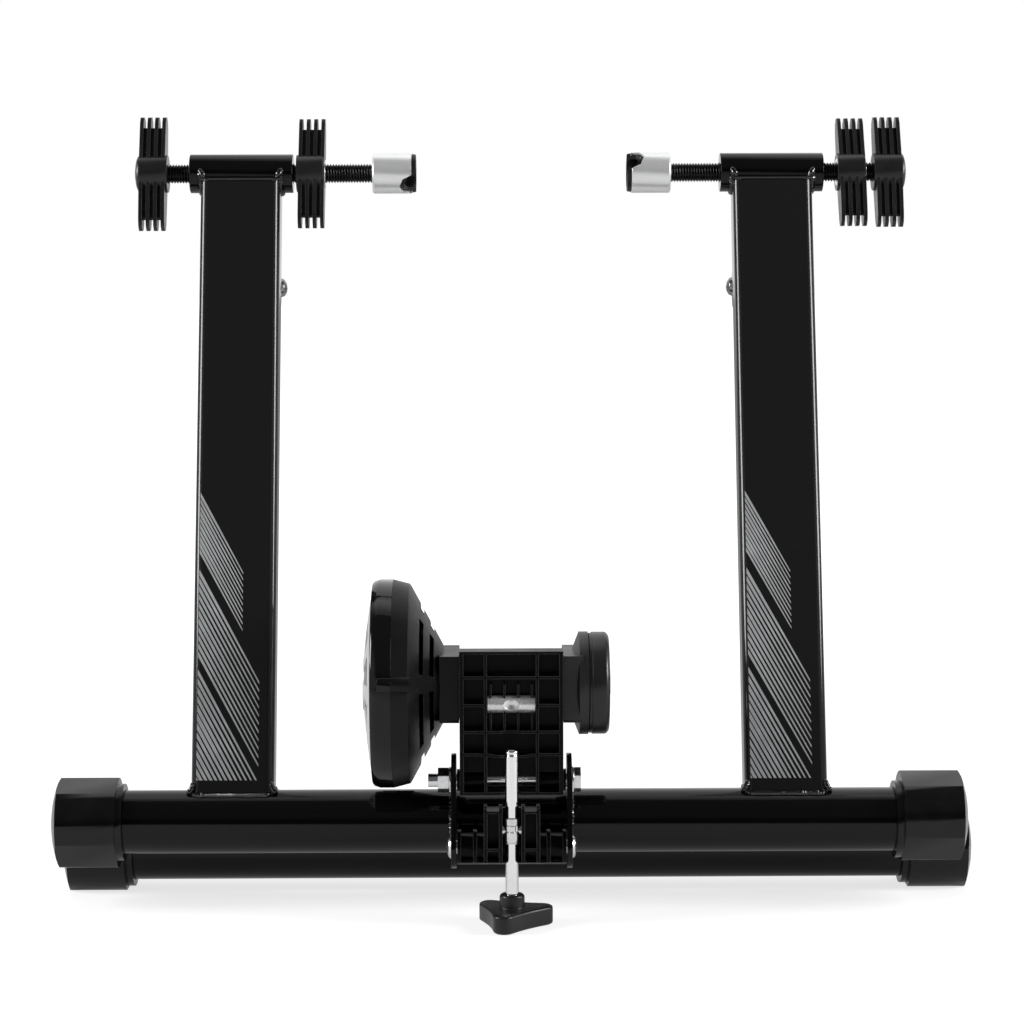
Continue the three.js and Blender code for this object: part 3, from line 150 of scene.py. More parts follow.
# Edges painted paler: partly rubbed wear, partly a painted highlight
WEAR_AND_HIGHLIGHT_WIDTH, WEAR_AND_HIGHLIGHT_SAMPLES = 0.0006, 4  # metres, and rays for each look at an edge
WEAR_AND_HIGHLIGHT_BAND = (0.995, 0.9)  # cosine between the rounded and the true normal


def edge_wear(tree):
    """1 on edges, which hands and floors rub and which are also given a painted highlight, 0 elsewhere: the
    rounded normal against the true one.
    """
    bevel = tree.nodes.new("ShaderNodeBevel")
    bevel.samples = WEAR_AND_HIGHLIGHT_SAMPLES
    bevel.inputs["Radius"].default_value = WEAR_AND_HIGHLIGHT_WIDTH
    geometry = tree.nodes.new("ShaderNodeNewGeometry")
    dot = tree.nodes.new("ShaderNodeVectorMath")
    dot.operation = "DOT_PRODUCT"
    tree.links.new(bevel.outputs[0], dot.inputs[0])
    tree.links.new(geometry.outputs["Normal"], dot.inputs[1])
    return remap(tree, dot.outputs["Value"], WEAR_AND_HIGHLIGHT_BAND, 0.0, 1.0)


def tinted(color, gain, lift=0.0):
    return tuple(c * gain + lift for c in color)


CLOUD, CLOUD_BAND = {"scale": 14, "detail": 4}, (0.35, 0.7)
DUST, DUST_BAND, DUST_TINT = {"scale": 900, "detail": 2}, (0.66, 0.8), (1.9, 0.003)
PEEL, PEEL_HEIGHT = {"scale": 260, "detail": 2}, 0.0002


def paint(name, color, rough_low, rough_high, peel=0.12, spec=0.38):
    """Sprayed gloss: orange peel, cloudy gloss and a few dust specks."""
    mat, tree, bsdf = shader(name, color, rough_low, spec=spec)
    gloss = remap(tree, noise(tree, **CLOUD), CLOUD_BAND, rough_low, rough_high)
    tree.links.new(gloss, bsdf.inputs["Roughness"])
    dust = remap(tree, noise(tree, **DUST), DUST_BAND, 0, 1)
    tree.links.new(mix(tree, dust, color, tinted(color, *DUST_TINT)), bsdf.inputs["Base Color"])
    bump(tree, bsdf, noise(tree, **PEEL), peel, PEEL_HEIGHT)
    return mat


SHEEN, SHEEN_BAND = {"scale": 40, "detail": 4}, (0.3, 0.7)
FLOW, FLOW_BAND, FLOW_SHARE, FLOW_TINT = {"scale": 90, "detail": 5}, (0.45, 0.75), 0.6, (1.5, 0.003)
# How much paler the edges are painted: partly rubbed wear, partly a painted highlight
WORN_AND_LIT_GAIN = 2.6
GRAIN_HEIGHT = 0.00012
WAVE, WAVE_DEPTH, WAVE_HEIGHT = {"scale": 120, "detail": 2}, 0.05, 0.0006


def plastic(name, color, rough_low, rough_high, grain=1800, depth=0.25, spec=0.32, wear=0.5, rub=0.012):
    """Moulded plastic: spark-eroded grain, faint flow clouds, and paler edges that are partly rubbed wear and
    partly a painted highlight.
    """
    mat, tree, bsdf = shader(name, color, rough_low, spec=spec)
    sheen = remap(tree, noise(tree, **SHEEN), SHEEN_BAND, rough_low, rough_high)
    tree.links.new(sheen, bsdf.inputs["Roughness"])
    flow = remap(tree, noise(tree, **FLOW), FLOW_BAND, 0, FLOW_SHARE)
    cloudy = mix(tree, flow, color, tinted(color, *FLOW_TINT))
    # Paler edges: partly rubbed wear, partly a painted highlight
    worn_and_lit = remap(tree, edge_wear(tree), (0, 1), 0, wear)
    tree.links.new(mix(tree, worn_and_lit, cloudy, tinted(color, WORN_AND_LIT_GAIN, rub)), bsdf.inputs["Base Color"])
    fine = bump(tree, bsdf, noise(tree, grain), depth, GRAIN_HEIGHT)
    bump(tree, bsdf, noise(tree, **WAVE), WAVE_DEPTH, WAVE_HEIGHT, fine)
    return mat


STREAK, STREAK_BAND = {"detail": 4, "rough": 0.6}, (0.3, 0.7)
STAIN, STAIN_BAND = {"scale": 160, "detail": 5, "rough": 0.65}, (0.5, 0.8)


def metal(name, color, rough_low, rough_high, stretch=(1, 1, 1), scale=500, depth=0.12, dark=0.6, share=1.0):
    """Bare or plated metal: fine tool or brush marks and a few duller stains."""
    mat, tree, bsdf = shader(name, color, rough_low, metal=share)
    streak = noise(tree, scale, stretch=stretch, **STREAK)
    tree.links.new(remap(tree, streak, STREAK_BAND, rough_low, rough_high), bsdf.inputs["Roughness"])
    stain = remap(tree, noise(tree, **STAIN), STAIN_BAND, 0, 1)
    tree.links.new(mix(tree, stain, color, tinted(color, dark)), bsdf.inputs["Base Color"])
    bump(tree, bsdf, streak, depth, GRAIN_HEIGHT)
    return mat


# The look of each material slot: its colour, then its smoothest and its roughest gloss
MATS = {}


def slot_look(make, slot, *numbers, **options):
    MATS[slot] = make(slot, *numbers, **options)


slot_look(paint, "gloss_black_paint", (0.0030, 0.0030, 0.0032), 0.08, 0.14, spec=0.26)
slot_look(plastic, "foot_plastic", (0.0040, 0.0040, 0.0043), 0.13, 0.22, depth=0.06, spec=0.34)
# The knobs' and the cast plastic's edges are painted paler: partly rubbed wear and partly a painted
# highlight, strongest on the cast plastic's ribs
slot_look(plastic, "knob_plastic", (0.0105, 0.0105, 0.0109), 0.26, 0.38,
          depth=0.18, spec=0.42, wear=0.7, rub=0.035)
slot_look(plastic, "cast_plastic", (0.0013, 0.0013, 0.0014), 0.28, 0.40,
          depth=0.15, spec=0.11, wear=1.0, rub=0.12)
slot_look(plastic, "liner_plastic", (0.0045, 0.0045, 0.0045), 0.36, 0.46)
slot_look(plastic, "housing_matt", (0.0034, 0.0034, 0.0036), 0.34, 0.44, grain=2600, depth=0.22, spec=0.22)
slot_look(paint, "housing_gloss", (0.0035, 0.0035, 0.0037), 0.05, 0.09, peel=0.05, spec=0.34)
slot_look(plastic, "flywheel_black", (0.0110, 0.0110, 0.0114), 0.28, 0.40, depth=0.15, spec=0.46)
slot_look(metal, "cup_aluminium", (0.95, 0.955, 0.96), 0.28, 0.34, depth=0.03, dark=0.97, share=0.6)
slot_look(metal, "turned_aluminium", (0.76, 0.77, 0.78), 0.28, 0.38, stretch=(12, 1, 1), dark=0.88)
slot_look(metal, "magnet_steel", (0.05, 0.05, 0.052), 0.45, 0.55)
slot_look(metal, "rod_chrome", (0.95, 0.95, 0.955), 0.07, 0.13,
          stretch=(1, 1, 6), scale=300, depth=0.03, dark=0.93)
slot_look(metal, "zinc_steel", (0.80, 0.81, 0.82), 0.16, 0.30, scale=420, depth=0.15, dark=0.7)
slot_look(metal, "black_oxide", (0.04, 0.04, 0.042), 0.24, 0.34, scale=600, depth=0.1)

# Looks of added pieces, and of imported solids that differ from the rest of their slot
stripe_silver = plastic("stripe_silver", (0.40, 0.41, 0.42), 0.40, 0.55, grain=2200, depth=0.3, wear=0.0)
weld_paint = paint("weld_paint", (0.0030, 0.0030, 0.0032), 0.04, 0.08, spec=0.75)
face_silver = metal("face_silver", (0.77, 0.775, 0.78), 0.28, 0.34, depth=0.01, dark=0.95, share=0.3)
seat_zinc = metal("seat_zinc", (0.95, 0.95, 0.96), 0.18, 0.34, scale=260, depth=0.3, dark=0.85, share=0.55)
cover_matt = plastic("cover_matt", (0.0140, 0.0140, 0.0145), 0.34, 0.44, grain=2600, depth=0.22, spec=0.45)
# A darker copy of the zinc for the fold pins: a painted dark reflection of the dim surroundings their domes
# face
pin_zinc_painted_reflection = metal("pin_zinc_painted_reflection", (0.26, 0.26, 0.27), 0.14, 0.22)
# A lighter copy of the gloss black paint for the uprights: painted light on their flat faces
upright_paint_painted_light = paint("upright_paint_painted_light", (0.0115, 0.0115, 0.0118), 0.08, 0.14, spec=0.30)
# Finishes of single solids, and the copies that carry painted light on the fold pins and the uprights
NODE_FINISH_AND_PAINTED_LIGHT = {
    "brake_face_cover": face_silver,
    "tension_seat": seat_zinc,
    "bearing_cover": cover_matt,
    "left_fold_pin": pin_zinc_painted_reflection,
    "right_fold_pin": pin_zinc_painted_reflection,
    "left_upright": upright_paint_painted_light,
    "right_upright": upright_paint_painted_light,
}

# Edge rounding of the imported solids
ROUNDING = {
    "cast_plastic": 0.3, "knob_plastic": 0.5, "foot_plastic": 0.9, "liner_plastic": 0.25,
    "housing_matt": 0.5, "housing_gloss": 0.4, "flywheel_black": 0.4, "gloss_black_paint": 0.3,
    "zinc_steel": 0.25, "cup_aluminium": 0.25, "turned_aluminium": 0.2,
    "rod_chrome": 0.3, "magnet_steel": 0.2, "black_oxide": 0.2,
}
ROUNDING_ANGLE = math.radians(30)
WELD_GAP = 2e-6  # metres

for name, node in nodes.items():
    slot = slots[name]
    node.data.materials.clear()
    node.data.materials.append(NODE_FINISH_AND_PAINTED_LIGHT.get(name) or MATS[slot])
    for polygon in node.data.polygons:
        polygon.use_smooth = True
    weld = node.modifiers.new("weld", "WELD")
    weld.merge_threshold = WELD_GAP
    edge = node.modifiers.new("edge", "BEVEL")
    edge.width = ROUNDING[slot] * MM
    edge.segments = 2
    edge.limit_method = "ANGLE"
    edge.angle_limit = ROUNDING_ANGLE
    edge.harden_normals = False
    even = node.modifiers.new("even", "WEIGHTED_NORMAL")
    even.weight = 50
    even.keep_sharp = True


# Mesh helpers

# The angles in degrees past which edges stay sharp
THREAD_ANGLE, TURNED_ANGLE, BEAD_ANGLE, JOINED_ANGLE = 50, 35, 60, 40


def shade_smooth(mesh, angle):
    for polygon in mesh.polygons:
        polygon.use_smooth = True
    mesh.set_sharp_from_angle(angle=math.radians(angle))


def mesh_of(name, rings, smooth_angle, caps=True):
    """A surface through rings of points that all have as many."""
    mesh = bpy.data.meshes.new(name)
    bm = bmesh.new()
    rings = [[bm.verts.new(point) for point in ring] for ring in rings]
    count = len(rings[0])
    for lower, upper in zip(rings, rings[1:]):
        for j in range(count):
            k = (j + 1) % count
            bm.faces.new((lower[j], lower[k], upper[k], upper[j]))
    if caps:
        bm.faces.new(list(reversed(rings[0])))
        bm.faces.new(rings[-1])
    bmesh.ops.recalc_face_normals(bm, faces=bm.faces)
    bm.to_mesh(mesh)
    bm.free()
    shade_smooth(mesh, smooth_angle)
    return mesh


def piece(name, mesh, body, slot, material=None):
    obj = bpy.data.objects.new(name, mesh)
    bpy.context.scene.collection.objects.link(obj)
    mesh.materials.clear()
    mesh.materials.append(material or MATS[slot])
    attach(obj, body)
    return obj


def joined(name, meshes):
    """One mesh out of several."""
    bm = bmesh.new()
    for part in meshes:
        bm.from_mesh(part)
    whole = bpy.data.meshes.new(name)
    bm.to_mesh(whole)
    bm.free()
    shade_smooth(whole, JOINED_ANGLE)
    return whole


def node_centre(name):
    low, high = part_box(name)
    return (low + high) / 2


# The main frame's own axes: along the tube, out of the uprights' faces to the back, and up the uprights
tube_centre = node_centre("main_tube")


def leaning(x, y, z):
    """A point of the main frame, from its place about the middle of the bottom tube."""
    back = y * math.cos(LEAN) + z * math.sin(LEAN)
    up = z * math.cos(LEAN) - y * math.sin(LEAN)
    return tube_centre + mm(x, back, up)


# Threads

THREAD_SIDES, THREAD_STEPS = 28, 8  # points round the thread and rings in a turn
THREAD_ROOT, THREAD_FLANK = 0.12, 0.7  # shares of half a pitch
THREAD_CHAMFER, THREAD_TAPER = 1.2, 0.12  # length of the taper at both ends, and its share of the radius
THREAD_TIP = 1e-6  # metres of taper that the very ends have run


def thread_rings(length, radius, pitch, depth):
    """Rings along X, about the middle, whose radius follows a helix; all in metres."""
    count = max(2, int(round(length / pitch * THREAD_STEPS)))
    rings = []
    for i in range(count + 1):
        x = length * i / count
        taper = min(1.0, (min(x, length - x) + THREAD_TIP) / (THREAD_CHAMFER * MM))
        ring = []
        for j in range(THREAD_SIDES):
            phase = (x / pitch - j / THREAD_SIDES) % 1.0
            tooth = abs(2 * phase - 1)
            crest = min(1.0, max(0.0, (tooth - THREAD_ROOT) / THREAD_FLANK))
            r = (radius - depth * (1 - crest)) * (1 - THREAD_TAPER * (1 - taper))
            a = 2 * math.pi * j / THREAD_SIDES
            ring.append(Vector((x - length / 2, r * math.cos(a), r * math.sin(a))))
        rings.append(ring)
    return rings


def threaded(name, node, axis, pitch, depth, body):
    """A thread in the place of a plain packed rod."""
    low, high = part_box(node)
    size = high - low
    length = size["xyz".index(axis)]
    radius = (size.z if axis == "x" else size.x) / 2
    mesh = mesh_of(name, thread_rings(length, radius, pitch * MM, depth * MM), THREAD_ANGLE)
    if axis == "z":
        mesh.transform(Matrix.Rotation(-math.pi / 2, 4, "Y"))
    mesh.transform(Matrix.Translation(node_centre(node)))
    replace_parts(piece(name, mesh, body, slots[node]), node)


for side in ("left", "right"):
    threaded(f"{side}_thread", f"{side}_spindle", "x", COARSE_PITCH, COARSE_DEPTH, f"{side}_clamp_screw")
threaded("tension_thread", "tension_rod", "z", FINE_PITCH, FINE_DEPTH, "tension_screw")


# Turned pieces

def turned(name, profile, centre, axis, sides, closed=False, knurl=None):
    """A profile of (place along the axis, radius) pairs, turned round an axis.

    A closed profile comes back to its first point and gives a ring. The knurl is its lowest and highest place
    and its depth.
    """
    rings = []
    for place, radius in profile:
        ring = []
        for j in range(sides):
            a = 2 * math.pi * j / sides
            r = radius
            if knurl and knurl[0] <= place <= knurl[1]:
                r -= knurl[2] * ((j // 2) % 2)
            u, v = r * math.cos(a), r * math.sin(a)
            ring.append(centre + (mm(place, u, v) if axis == "x" else mm(u, v, place)))
        rings.append(ring)
    if closed:
        rings += rings[:1]
    return mesh_of(name, rings, TURNED_ANGLE, caps=not closed)


# The tension nut: a collar with a knurled band, and the two trunnions that sit in the yoke
NUT_RADIUS, NUT_WAIST, NUT_FOOT, NUT_HEAD = 5.15, 4.7, 4.5, 4.6
NUT_SIDES, NUT_CHAMFER = 56, 0.3
KNURL_STEPS, KNURL_STEP_DEPTH, KNURL_DEPTH = 7, 0.22, 0.35
KNURL_FROM, KNURL_TO = 8.0, 4.3  # down from the head
TRUNNION_RADIUS, TRUNNION_CHAMFER, TRUNNION_SIDES = 2.95, 0.3, 32
# Places and radii: up from the nut's foot, and out from each end of the knurled band
FOOT_RINGS = ((0.0, NUT_FOOT), (0.25, NUT_RADIUS), (0.8, NUT_RADIUS),
              (1.0, NUT_WAIST), (1.6, NUT_WAIST), (1.8, NUT_RADIUS))
GROOVE_RINGS = ((0.1, NUT_WAIST), (0.3, NUT_WAIST), (0.5, NUT_RADIUS))
nut_low, nut_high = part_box("tension_nut")
nut_centre = node_centre("tension_nut")
nut_half = (nut_high.z - nut_low.z) / 2 / MM
knurl_low, knurl_high = nut_half - KNURL_FROM, nut_half - KNURL_TO
nut_profile = [
    *((up - nut_half, radius) for up, radius in FOOT_RINGS),
    *((knurl_low - gap, radius) for gap, radius in reversed(GROOVE_RINGS)),
    *((knurl_low + (knurl_high - knurl_low) * k / KNURL_STEPS, NUT_RADIUS - KNURL_STEP_DEPTH * (k % 2))
      for k in range(KNURL_STEPS + 1)),
    *((knurl_high + gap, radius) for gap, radius in GROOVE_RINGS),
    (nut_half - NUT_CHAMFER, NUT_RADIUS), (nut_half, NUT_HEAD),
]
collar = turned("nut_collar", nut_profile, nut_centre, "z", NUT_SIDES,
                knurl=(knurl_low, knurl_high, KNURL_DEPTH))
trunnion_reach = (nut_high.x - nut_low.x) / 2 / MM
trunnion_shoulder = trunnion_reach - TRUNNION_CHAMFER
trunnion_profile = [
    (-trunnion_reach, TRUNNION_RADIUS - TRUNNION_CHAMFER), (-trunnion_shoulder, TRUNNION_RADIUS),
    (trunnion_shoulder, TRUNNION_RADIUS), (trunnion_reach, TRUNNION_RADIUS - TRUNNION_CHAMFER),
]
trunnion = turned("trunnion", trunnion_profile, nut_centre, "x", TRUNNION_SIDES)
nut_mesh = joined("knurled_nut", [collar, trunnion])
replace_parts(piece("knurled_nut", nut_mesh, "tension_yoke", slots["tension_nut"]), "tension_nut")

# A lip on the flywheel's back that closes the groove beside the bearing cover
LIP_INNER, LIP_OUTER, LIP_REACH, LIP_SEAT, LIP_CHAMFER, LIP_SIDES = 26.5, 29.6, 1.7, 0.05, 0.3, 72
rotor_centre = node_centre("flywheel")
lip_seat = (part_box("flywheel")[0].x - rotor_centre.x) / MM + LIP_SEAT
lip_end = lip_seat - LIP_REACH
lip_profile = [(lip_seat, LIP_INNER), (lip_seat, LIP_OUTER), (lip_end + LIP_CHAMFER, LIP_OUTER),
               (lip_end, LIP_OUTER - LIP_CHAMFER), (lip_end, LIP_INNER)]
lip = turned("flywheel_lip", lip_profile, rotor_centre, "x", LIP_SIDES, closed=True)
piece("flywheel_lip", lip, "rotor", "flywheel_black")

# A dust liner behind the inner slots of the brake housing's cone
LINER_LINE, LINER_WALL, LINER_SIDES = ((-47.2, 23.5), (-50.4, 29.4)), 0.8, 64
liner_profile = [*LINER_LINE, *((x, r - LINER_WALL) for x, r in reversed(LINER_LINE))]
unit_axis = Vector((0.0, rotor_centre.y, rotor_centre.z))
liner = turned("shell_liner", liner_profile, unit_axis, "x", LINER_SIDES, closed=True)
piece("shell_liner", liner, "roller_unit", "liner_plastic")


# Weld beads, painted over with the frame

BEAD_WANDER = 3  # length over which a bead's thickness drifts
BEAD_RIPPLE_SHARE, BEAD_DRIFT_SHARE = 0.10, 0.16
BEAD_END_SHARE, BEAD_END_LENGTH = 0.35, 2.5
BEAD_SIDE = Vector((0.3, 0.2, 0.93))  # along no bead
BEAD_STEP, LUMP_STEP, FOOT_LUMP_STEP = 0.5, 0.6, 0.7
rng = random.Random(7)


def bead(name, path, radius, sides=8, ripple=1.5, closed=False):
    """A bead along a path of points: rippled, a little uneven, tapering out at open ends."""
    steps = []
    run = 0.0
    for i, point in enumerate(path):
        if i:
            run += (point - path[i - 1]).length / MM
        steps.append(run)
    rings = []
    wander = [rng.uniform(-1, 1) for _ in range(int(run / BEAD_WANDER) + 3)]
    for i, point in enumerate(path):
        if closed:
            ahead, behind = path[(i + 1) % len(path)], path[i - 1]
        else:
            ahead, behind = path[min(i + 1, len(path) - 1)], path[max(i - 1, 0)]
        along = (ahead - behind).normalized()
        across = along.cross(BEAD_SIDE).normalized()
        other = along.cross(across)
        k = steps[i] / BEAD_WANDER
        drift = wander[int(k)] * (1 - k % 1) + wander[int(k) + 1] * (k % 1)
        wave = math.sin(2 * math.pi * steps[i] / ripple)
        size = radius * (1 + BEAD_RIPPLE_SHARE * wave + BEAD_DRIFT_SHARE * drift)
        if not closed:
            size *= min(1.0, BEAD_END_SHARE + min(steps[i], run - steps[i]) / BEAD_END_LENGTH)
        ring = []
        for j in range(sides):
            a = 2 * math.pi * j / sides
            ring.append(point + (across * math.cos(a) + other * math.sin(a)) * size * MM)
        rings.append(ring)
    if closed:
        rings.append(rings[0])
    return mesh_of(name, rings, BEAD_ANGLE, caps=not closed)


def spaced(points, step=BEAD_STEP):
    """The same polyline with points every step."""
    out = [points[0]]
    for a, b in zip(points, points[1:]):
        count = max(1, int(round((b - a).length / MM / step)))
        out += [a.lerp(b, (i + 1) / count) for i in range(count)]
    return out


def rounded_rectangle(half_width, half_depth, corner, steps=6):
    centres = [(1, 1), (-1, 1), (-1, -1), (1, -1)]
    points = []
    for i, (sx, sy) in enumerate(centres):
        for k in range(steps + 1):
            a = (i + k / steps) * math.pi / 2
            points.append((sx * (half_width - corner) + corner * math.cos(a),
                           sy * (half_depth - corner) + corner * math.sin(a)))
    return points + points[:1]


FOOT_BEAD, SADDLE_BEAD, LEDGE_BEAD, PLATE_BEAD = 1.7, 2.0, 1.1, 1.5
FOOT_LUMP = {"radius": 1.9, "sides": 12, "ripple": 3.1}
SADDLE_LUMP = {"radius": 1.9, "sides": 12, "ripple": 3.3}
SADDLE_SPOT = {"radius": 1.4, "sides": 12, "ripple": 2.4}
FOOT_STAND, PLATE_STAND = 0.3, 0.4
LUMP_INSET, LUMP_DEPTH = 1.2, 1.0
# Out along the tube from the upright's corner, share of the way to the front, and up from the tube
FOOT_LUMP_PATH = ((-0.6, 1.0, 7.5), (0.2, 1.0, 4.5), (1.4, 1.0, 2.2), (3.6, 0.96, 0.8))
# Out along the sleeve from the upright's side, out of the sleeve, and down from its axis
SADDLE_LUMP_PATH = ((1.2, 0.1, 0.5), (-0.6, 0.5, 3.4), (-2.4, 0.6, 6.4))
SADDLE_SPOT_PATH = ((-2.0, 0.3, 7.6), (-3.6, 0.3, 7.6), (-5.4, 0.3, 7.6))
SADDLE_STEPS, SADDLE_START, SADDLE_SHARE = 24, 0.02, 0.96  # shares of half a turn round the sleeve
PLATE_STEPS, PLATE_REACH = 30, 78  # degrees round the tube, up and down from its front


def tube_height(y):
    """How high the bottom tube's surface is over its axis, at a place across it."""
    return math.sqrt(TUBE_RADIUS ** 2 - y * y)


def foot_path(corner, end, front):
    root = tube_height(front)
    return [leaning(corner + end * out, front * share, root + up) for out, share, up in FOOT_LUMP_PATH]


def saddle_arc(x):
    """Half round the sleeve's underside, along the upright's side."""
    angles = [math.pi * (SADDLE_START + SADDLE_SHARE * k / SADDLE_STEPS) for k in range(SADDLE_STEPS + 1)]
    return [leaning(x, -SLEEVE_RADIUS * math.cos(a), SLEEVE_HEIGHT - SLEEVE_RADIUS * math.sin(a))
            for a in angles]


def saddle_path(x, end, face, places):
    return [leaning(x + end * out, face * (SLEEVE_RADIUS + lift), SLEEVE_HEIGHT - drop)
            for out, lift, drop in places]


def plate_arc(x):
    """Round the front of the bottom tube, along a unit plate."""
    angles = [math.radians(-PLATE_REACH + 2 * PLATE_REACH * k / PLATE_STEPS) for k in range(PLATE_STEPS + 1)]
    return [tube_centre + mm(x, -TUBE_RADIUS * math.cos(a), TUBE_RADIUS * math.sin(a)) for a in angles]


beads = []
half_spacing = (node_centre("right_upright").x - node_centre("left_upright").x) / 2 / MM
half_width, half_depth = UPRIGHT_WIDTH / 2, UPRIGHT_DEPTH / 2
for side in (-1, 1):
    x0 = side * half_spacing
    outline = rounded_rectangle(half_width, half_depth, UPRIGHT_CORNER)
    foot = [leaning(x0 + x, y, tube_height(y) + FOOT_STAND) for x, y in outline]
    beads.append(bead("foot_bead", spaced(foot)[:-1], FOOT_BEAD, closed=True))
    for end in (-1, 1):
        for face in (-1, 1):
            lump = foot_path(x0 + end * (half_width - LUMP_INSET), end, face * (half_depth - LUMP_DEPTH))
            beads.append(bead("foot_lump", spaced(lump, FOOT_LUMP_STEP), **FOOT_LUMP))
    for end in (-1, 1):
        x = x0 + end * half_width
        beads.append(bead("saddle_bead", spaced(saddle_arc(x)), SADDLE_BEAD))
        for face in (-1, 1):
            lump = saddle_path(x, end, face, SADDLE_LUMP_PATH)
            beads.append(bead("saddle_lump", spaced(lump, LUMP_STEP), **SADDLE_LUMP))
            spot = saddle_path(x, end, face, SADDLE_SPOT_PATH)
            beads.append(bead("saddle_spot", spaced(spot, LUMP_STEP), **SADDLE_SPOT))
    for face in (-1, 1):
        ledge = [leaning(x0 + end * half_width, face * half_depth, UPRIGHT_TOP) for end in (-1, 1)]
        beads.append(bead("ledge_bead", spaced(ledge), LEDGE_BEAD))
unit_x = node_centre("unit_bracket").x / MM - tube_centre.x / MM
for side in (-1, 1):
    arc = plate_arc(unit_x + side * (PLATE_FACE + PLATE_STAND))
    beads.append(bead("plate_bead", spaced(arc), PLATE_BEAD))
piece("weld_beads", joined("weld_beads", beads), "main_frame", "gloss_black_paint", weld_paint)


# Hatching printed on the lower part of the uprights: three slanted blocks of lines that thin out to the right

STRIPE_SLOPE = math.radians(61.3)
STRIPE_LOW, STRIPE_LEFT = 23.5, -21.4
STRIPE_LIFT = 0.05
WIDE_RANGE, THIN_RANGE = (0.86, 1.12), (0.8, 1.15)
# Lowest and highest start of each block's lines, their pitch, where they end, and the width at both ends as
# shares of the pitch
STRIPE_BLOCKS = (
    (18.0, 88.5, 5.4, 15.0, 0.74, 0.34),
    (99.5, 149.0, 5.0, 15.4, 0.66, 0.26),
    (162.0, 196.5, 3.9, 5.0, 0.74, 0.34),
)


def part_above(points, level):
    """The part of a polygon of (x, z) points that lies above a level."""
    out = []
    for a, b in zip(points, points[1:] + points[:1]):
        over_a, over_b = a[1] - level, b[1] - level
        if over_a >= 0:
            out.append(a)
        if over_a * over_b < 0:
            t = over_a / (over_a - over_b)
            out.append((a[0] + (b[0] - a[0]) * t, a[1] + (b[1] - a[1]) * t))
    return out


def stripes(name, x0):
    bm = bmesh.new()
    fall = math.tan(STRIPE_SLOPE)
    face = -UPRIGHT_DEPTH / 2 - STRIPE_LIFT
    chance = random.Random(11)
    for first, last, pitch, end, wide_share, thin_share in STRIPE_BLOCKS:
        count = int(round((last - first) / pitch))
        for i in range(count + 1):
            base = first + (last - first) * i / count
            wide = pitch * wide_share * chance.uniform(*WIDE_RANGE)
            thin = pitch * thin_share * chance.uniform(*THIN_RANGE)
            low_end = base - (end - STRIPE_LEFT) * fall
            outline = [(STRIPE_LEFT, base - wide / 2), (end, low_end - thin / 2),
                       (end, low_end + thin / 2), (STRIPE_LEFT, base + wide / 2)]
            outline = part_above(outline, STRIPE_LOW)
            if len(outline) >= 3:
                bm.faces.new([bm.verts.new(leaning(x0 + x, face, z)) for x, z in outline])
    front = leaning(0, -1, 0) - leaning(0, 0, 0)
    bm.normal_update()
    for f in bm.faces:
        if f.normal.dot(front) < 0:
            f.normal_flip()
    mesh = bpy.data.meshes.new(name)
    bm.to_mesh(mesh)
    bm.free()
    piece(name, mesh, "main_frame", "gloss_black_paint", stripe_silver)


stripes("left_stripes", -half_spacing)
stripes("right_stripes", half_spacing)


# Camera; the distance is in metres, the focal length in pixels of the photo

scene = bpy.context.scene
scene.view_settings.view_transform = "Standard"

YAW, ELEVATION, ROLL = math.radians(-0.382), math.radians(5.837), math.radians(-0.175)
DISTANCE, FOCAL, PHOTO_SIZE = 1.7075, 2837.12, 1024
AIM = mm(-2.919, -0.232, 232.88)
SENSOR, FAR_CLIP = 36, 100

data = bpy.data.cameras.new("camera")
camera = bpy.data.objects.new("camera", data)
scene.collection.objects.link(camera)
scene.camera = camera
flat = math.cos(ELEVATION)
away = Vector((math.sin(YAW) * flat, -math.cos(YAW) * flat, math.sin(ELEVATION)))
camera.location = AIM + away * DISTANCE
look = (-away).to_track_quat("-Z", "Y").to_matrix().to_4x4()
camera.rotation_euler = (look @ Matrix.Rotation(ROLL, 4, "Z")).to_euler()
data.sensor_width = SENSOR
data.lens = SENSOR * FOCAL / PHOTO_SIZE
data.clip_end = FAR_CLIP


# Studio: white behind the part, a dim room in front of it and a bright arch over and behind it

HORIZON_LEVEL, WALL_LEVEL, SIDE_LEVEL, ARCH_LEVEL = 0.02, 0.14, 0.6, 1.3
# Bands of the ray's own direction: sideways X, to the back Y and up Z
ARCH_SIDE_BAND, ARCH_BACK_BAND = (0.35, 0.7), (0.05, 0.5)
FLANK_SIDE_BAND, FLANK_UP_BAND, WALL_UP_BAND = (0.35, 0.6), (0.35, 0.75), (0.2, 0.45)


def light_rays(tree):
    """Values that are 1 for the camera's rays, and for glossy and transmission rays."""
    paths = tree.nodes.new("ShaderNodeLightPath").outputs
    sheen = calculate(tree, "MAXIMUM", paths["Is Glossy Ray"], paths["Is Transmission Ray"])
    return paths["Is Camera Ray"], sheen


def axes(tree, coordinates):
    """A texture coordinate, and its X, Y and Z."""
    place = tree.nodes.new("ShaderNodeTexCoord").outputs[coordinates]
    parts = tree.nodes.new("ShaderNodeSeparateXYZ")
    tree.links.new(place, parts.inputs[0])
    return place, parts.outputs


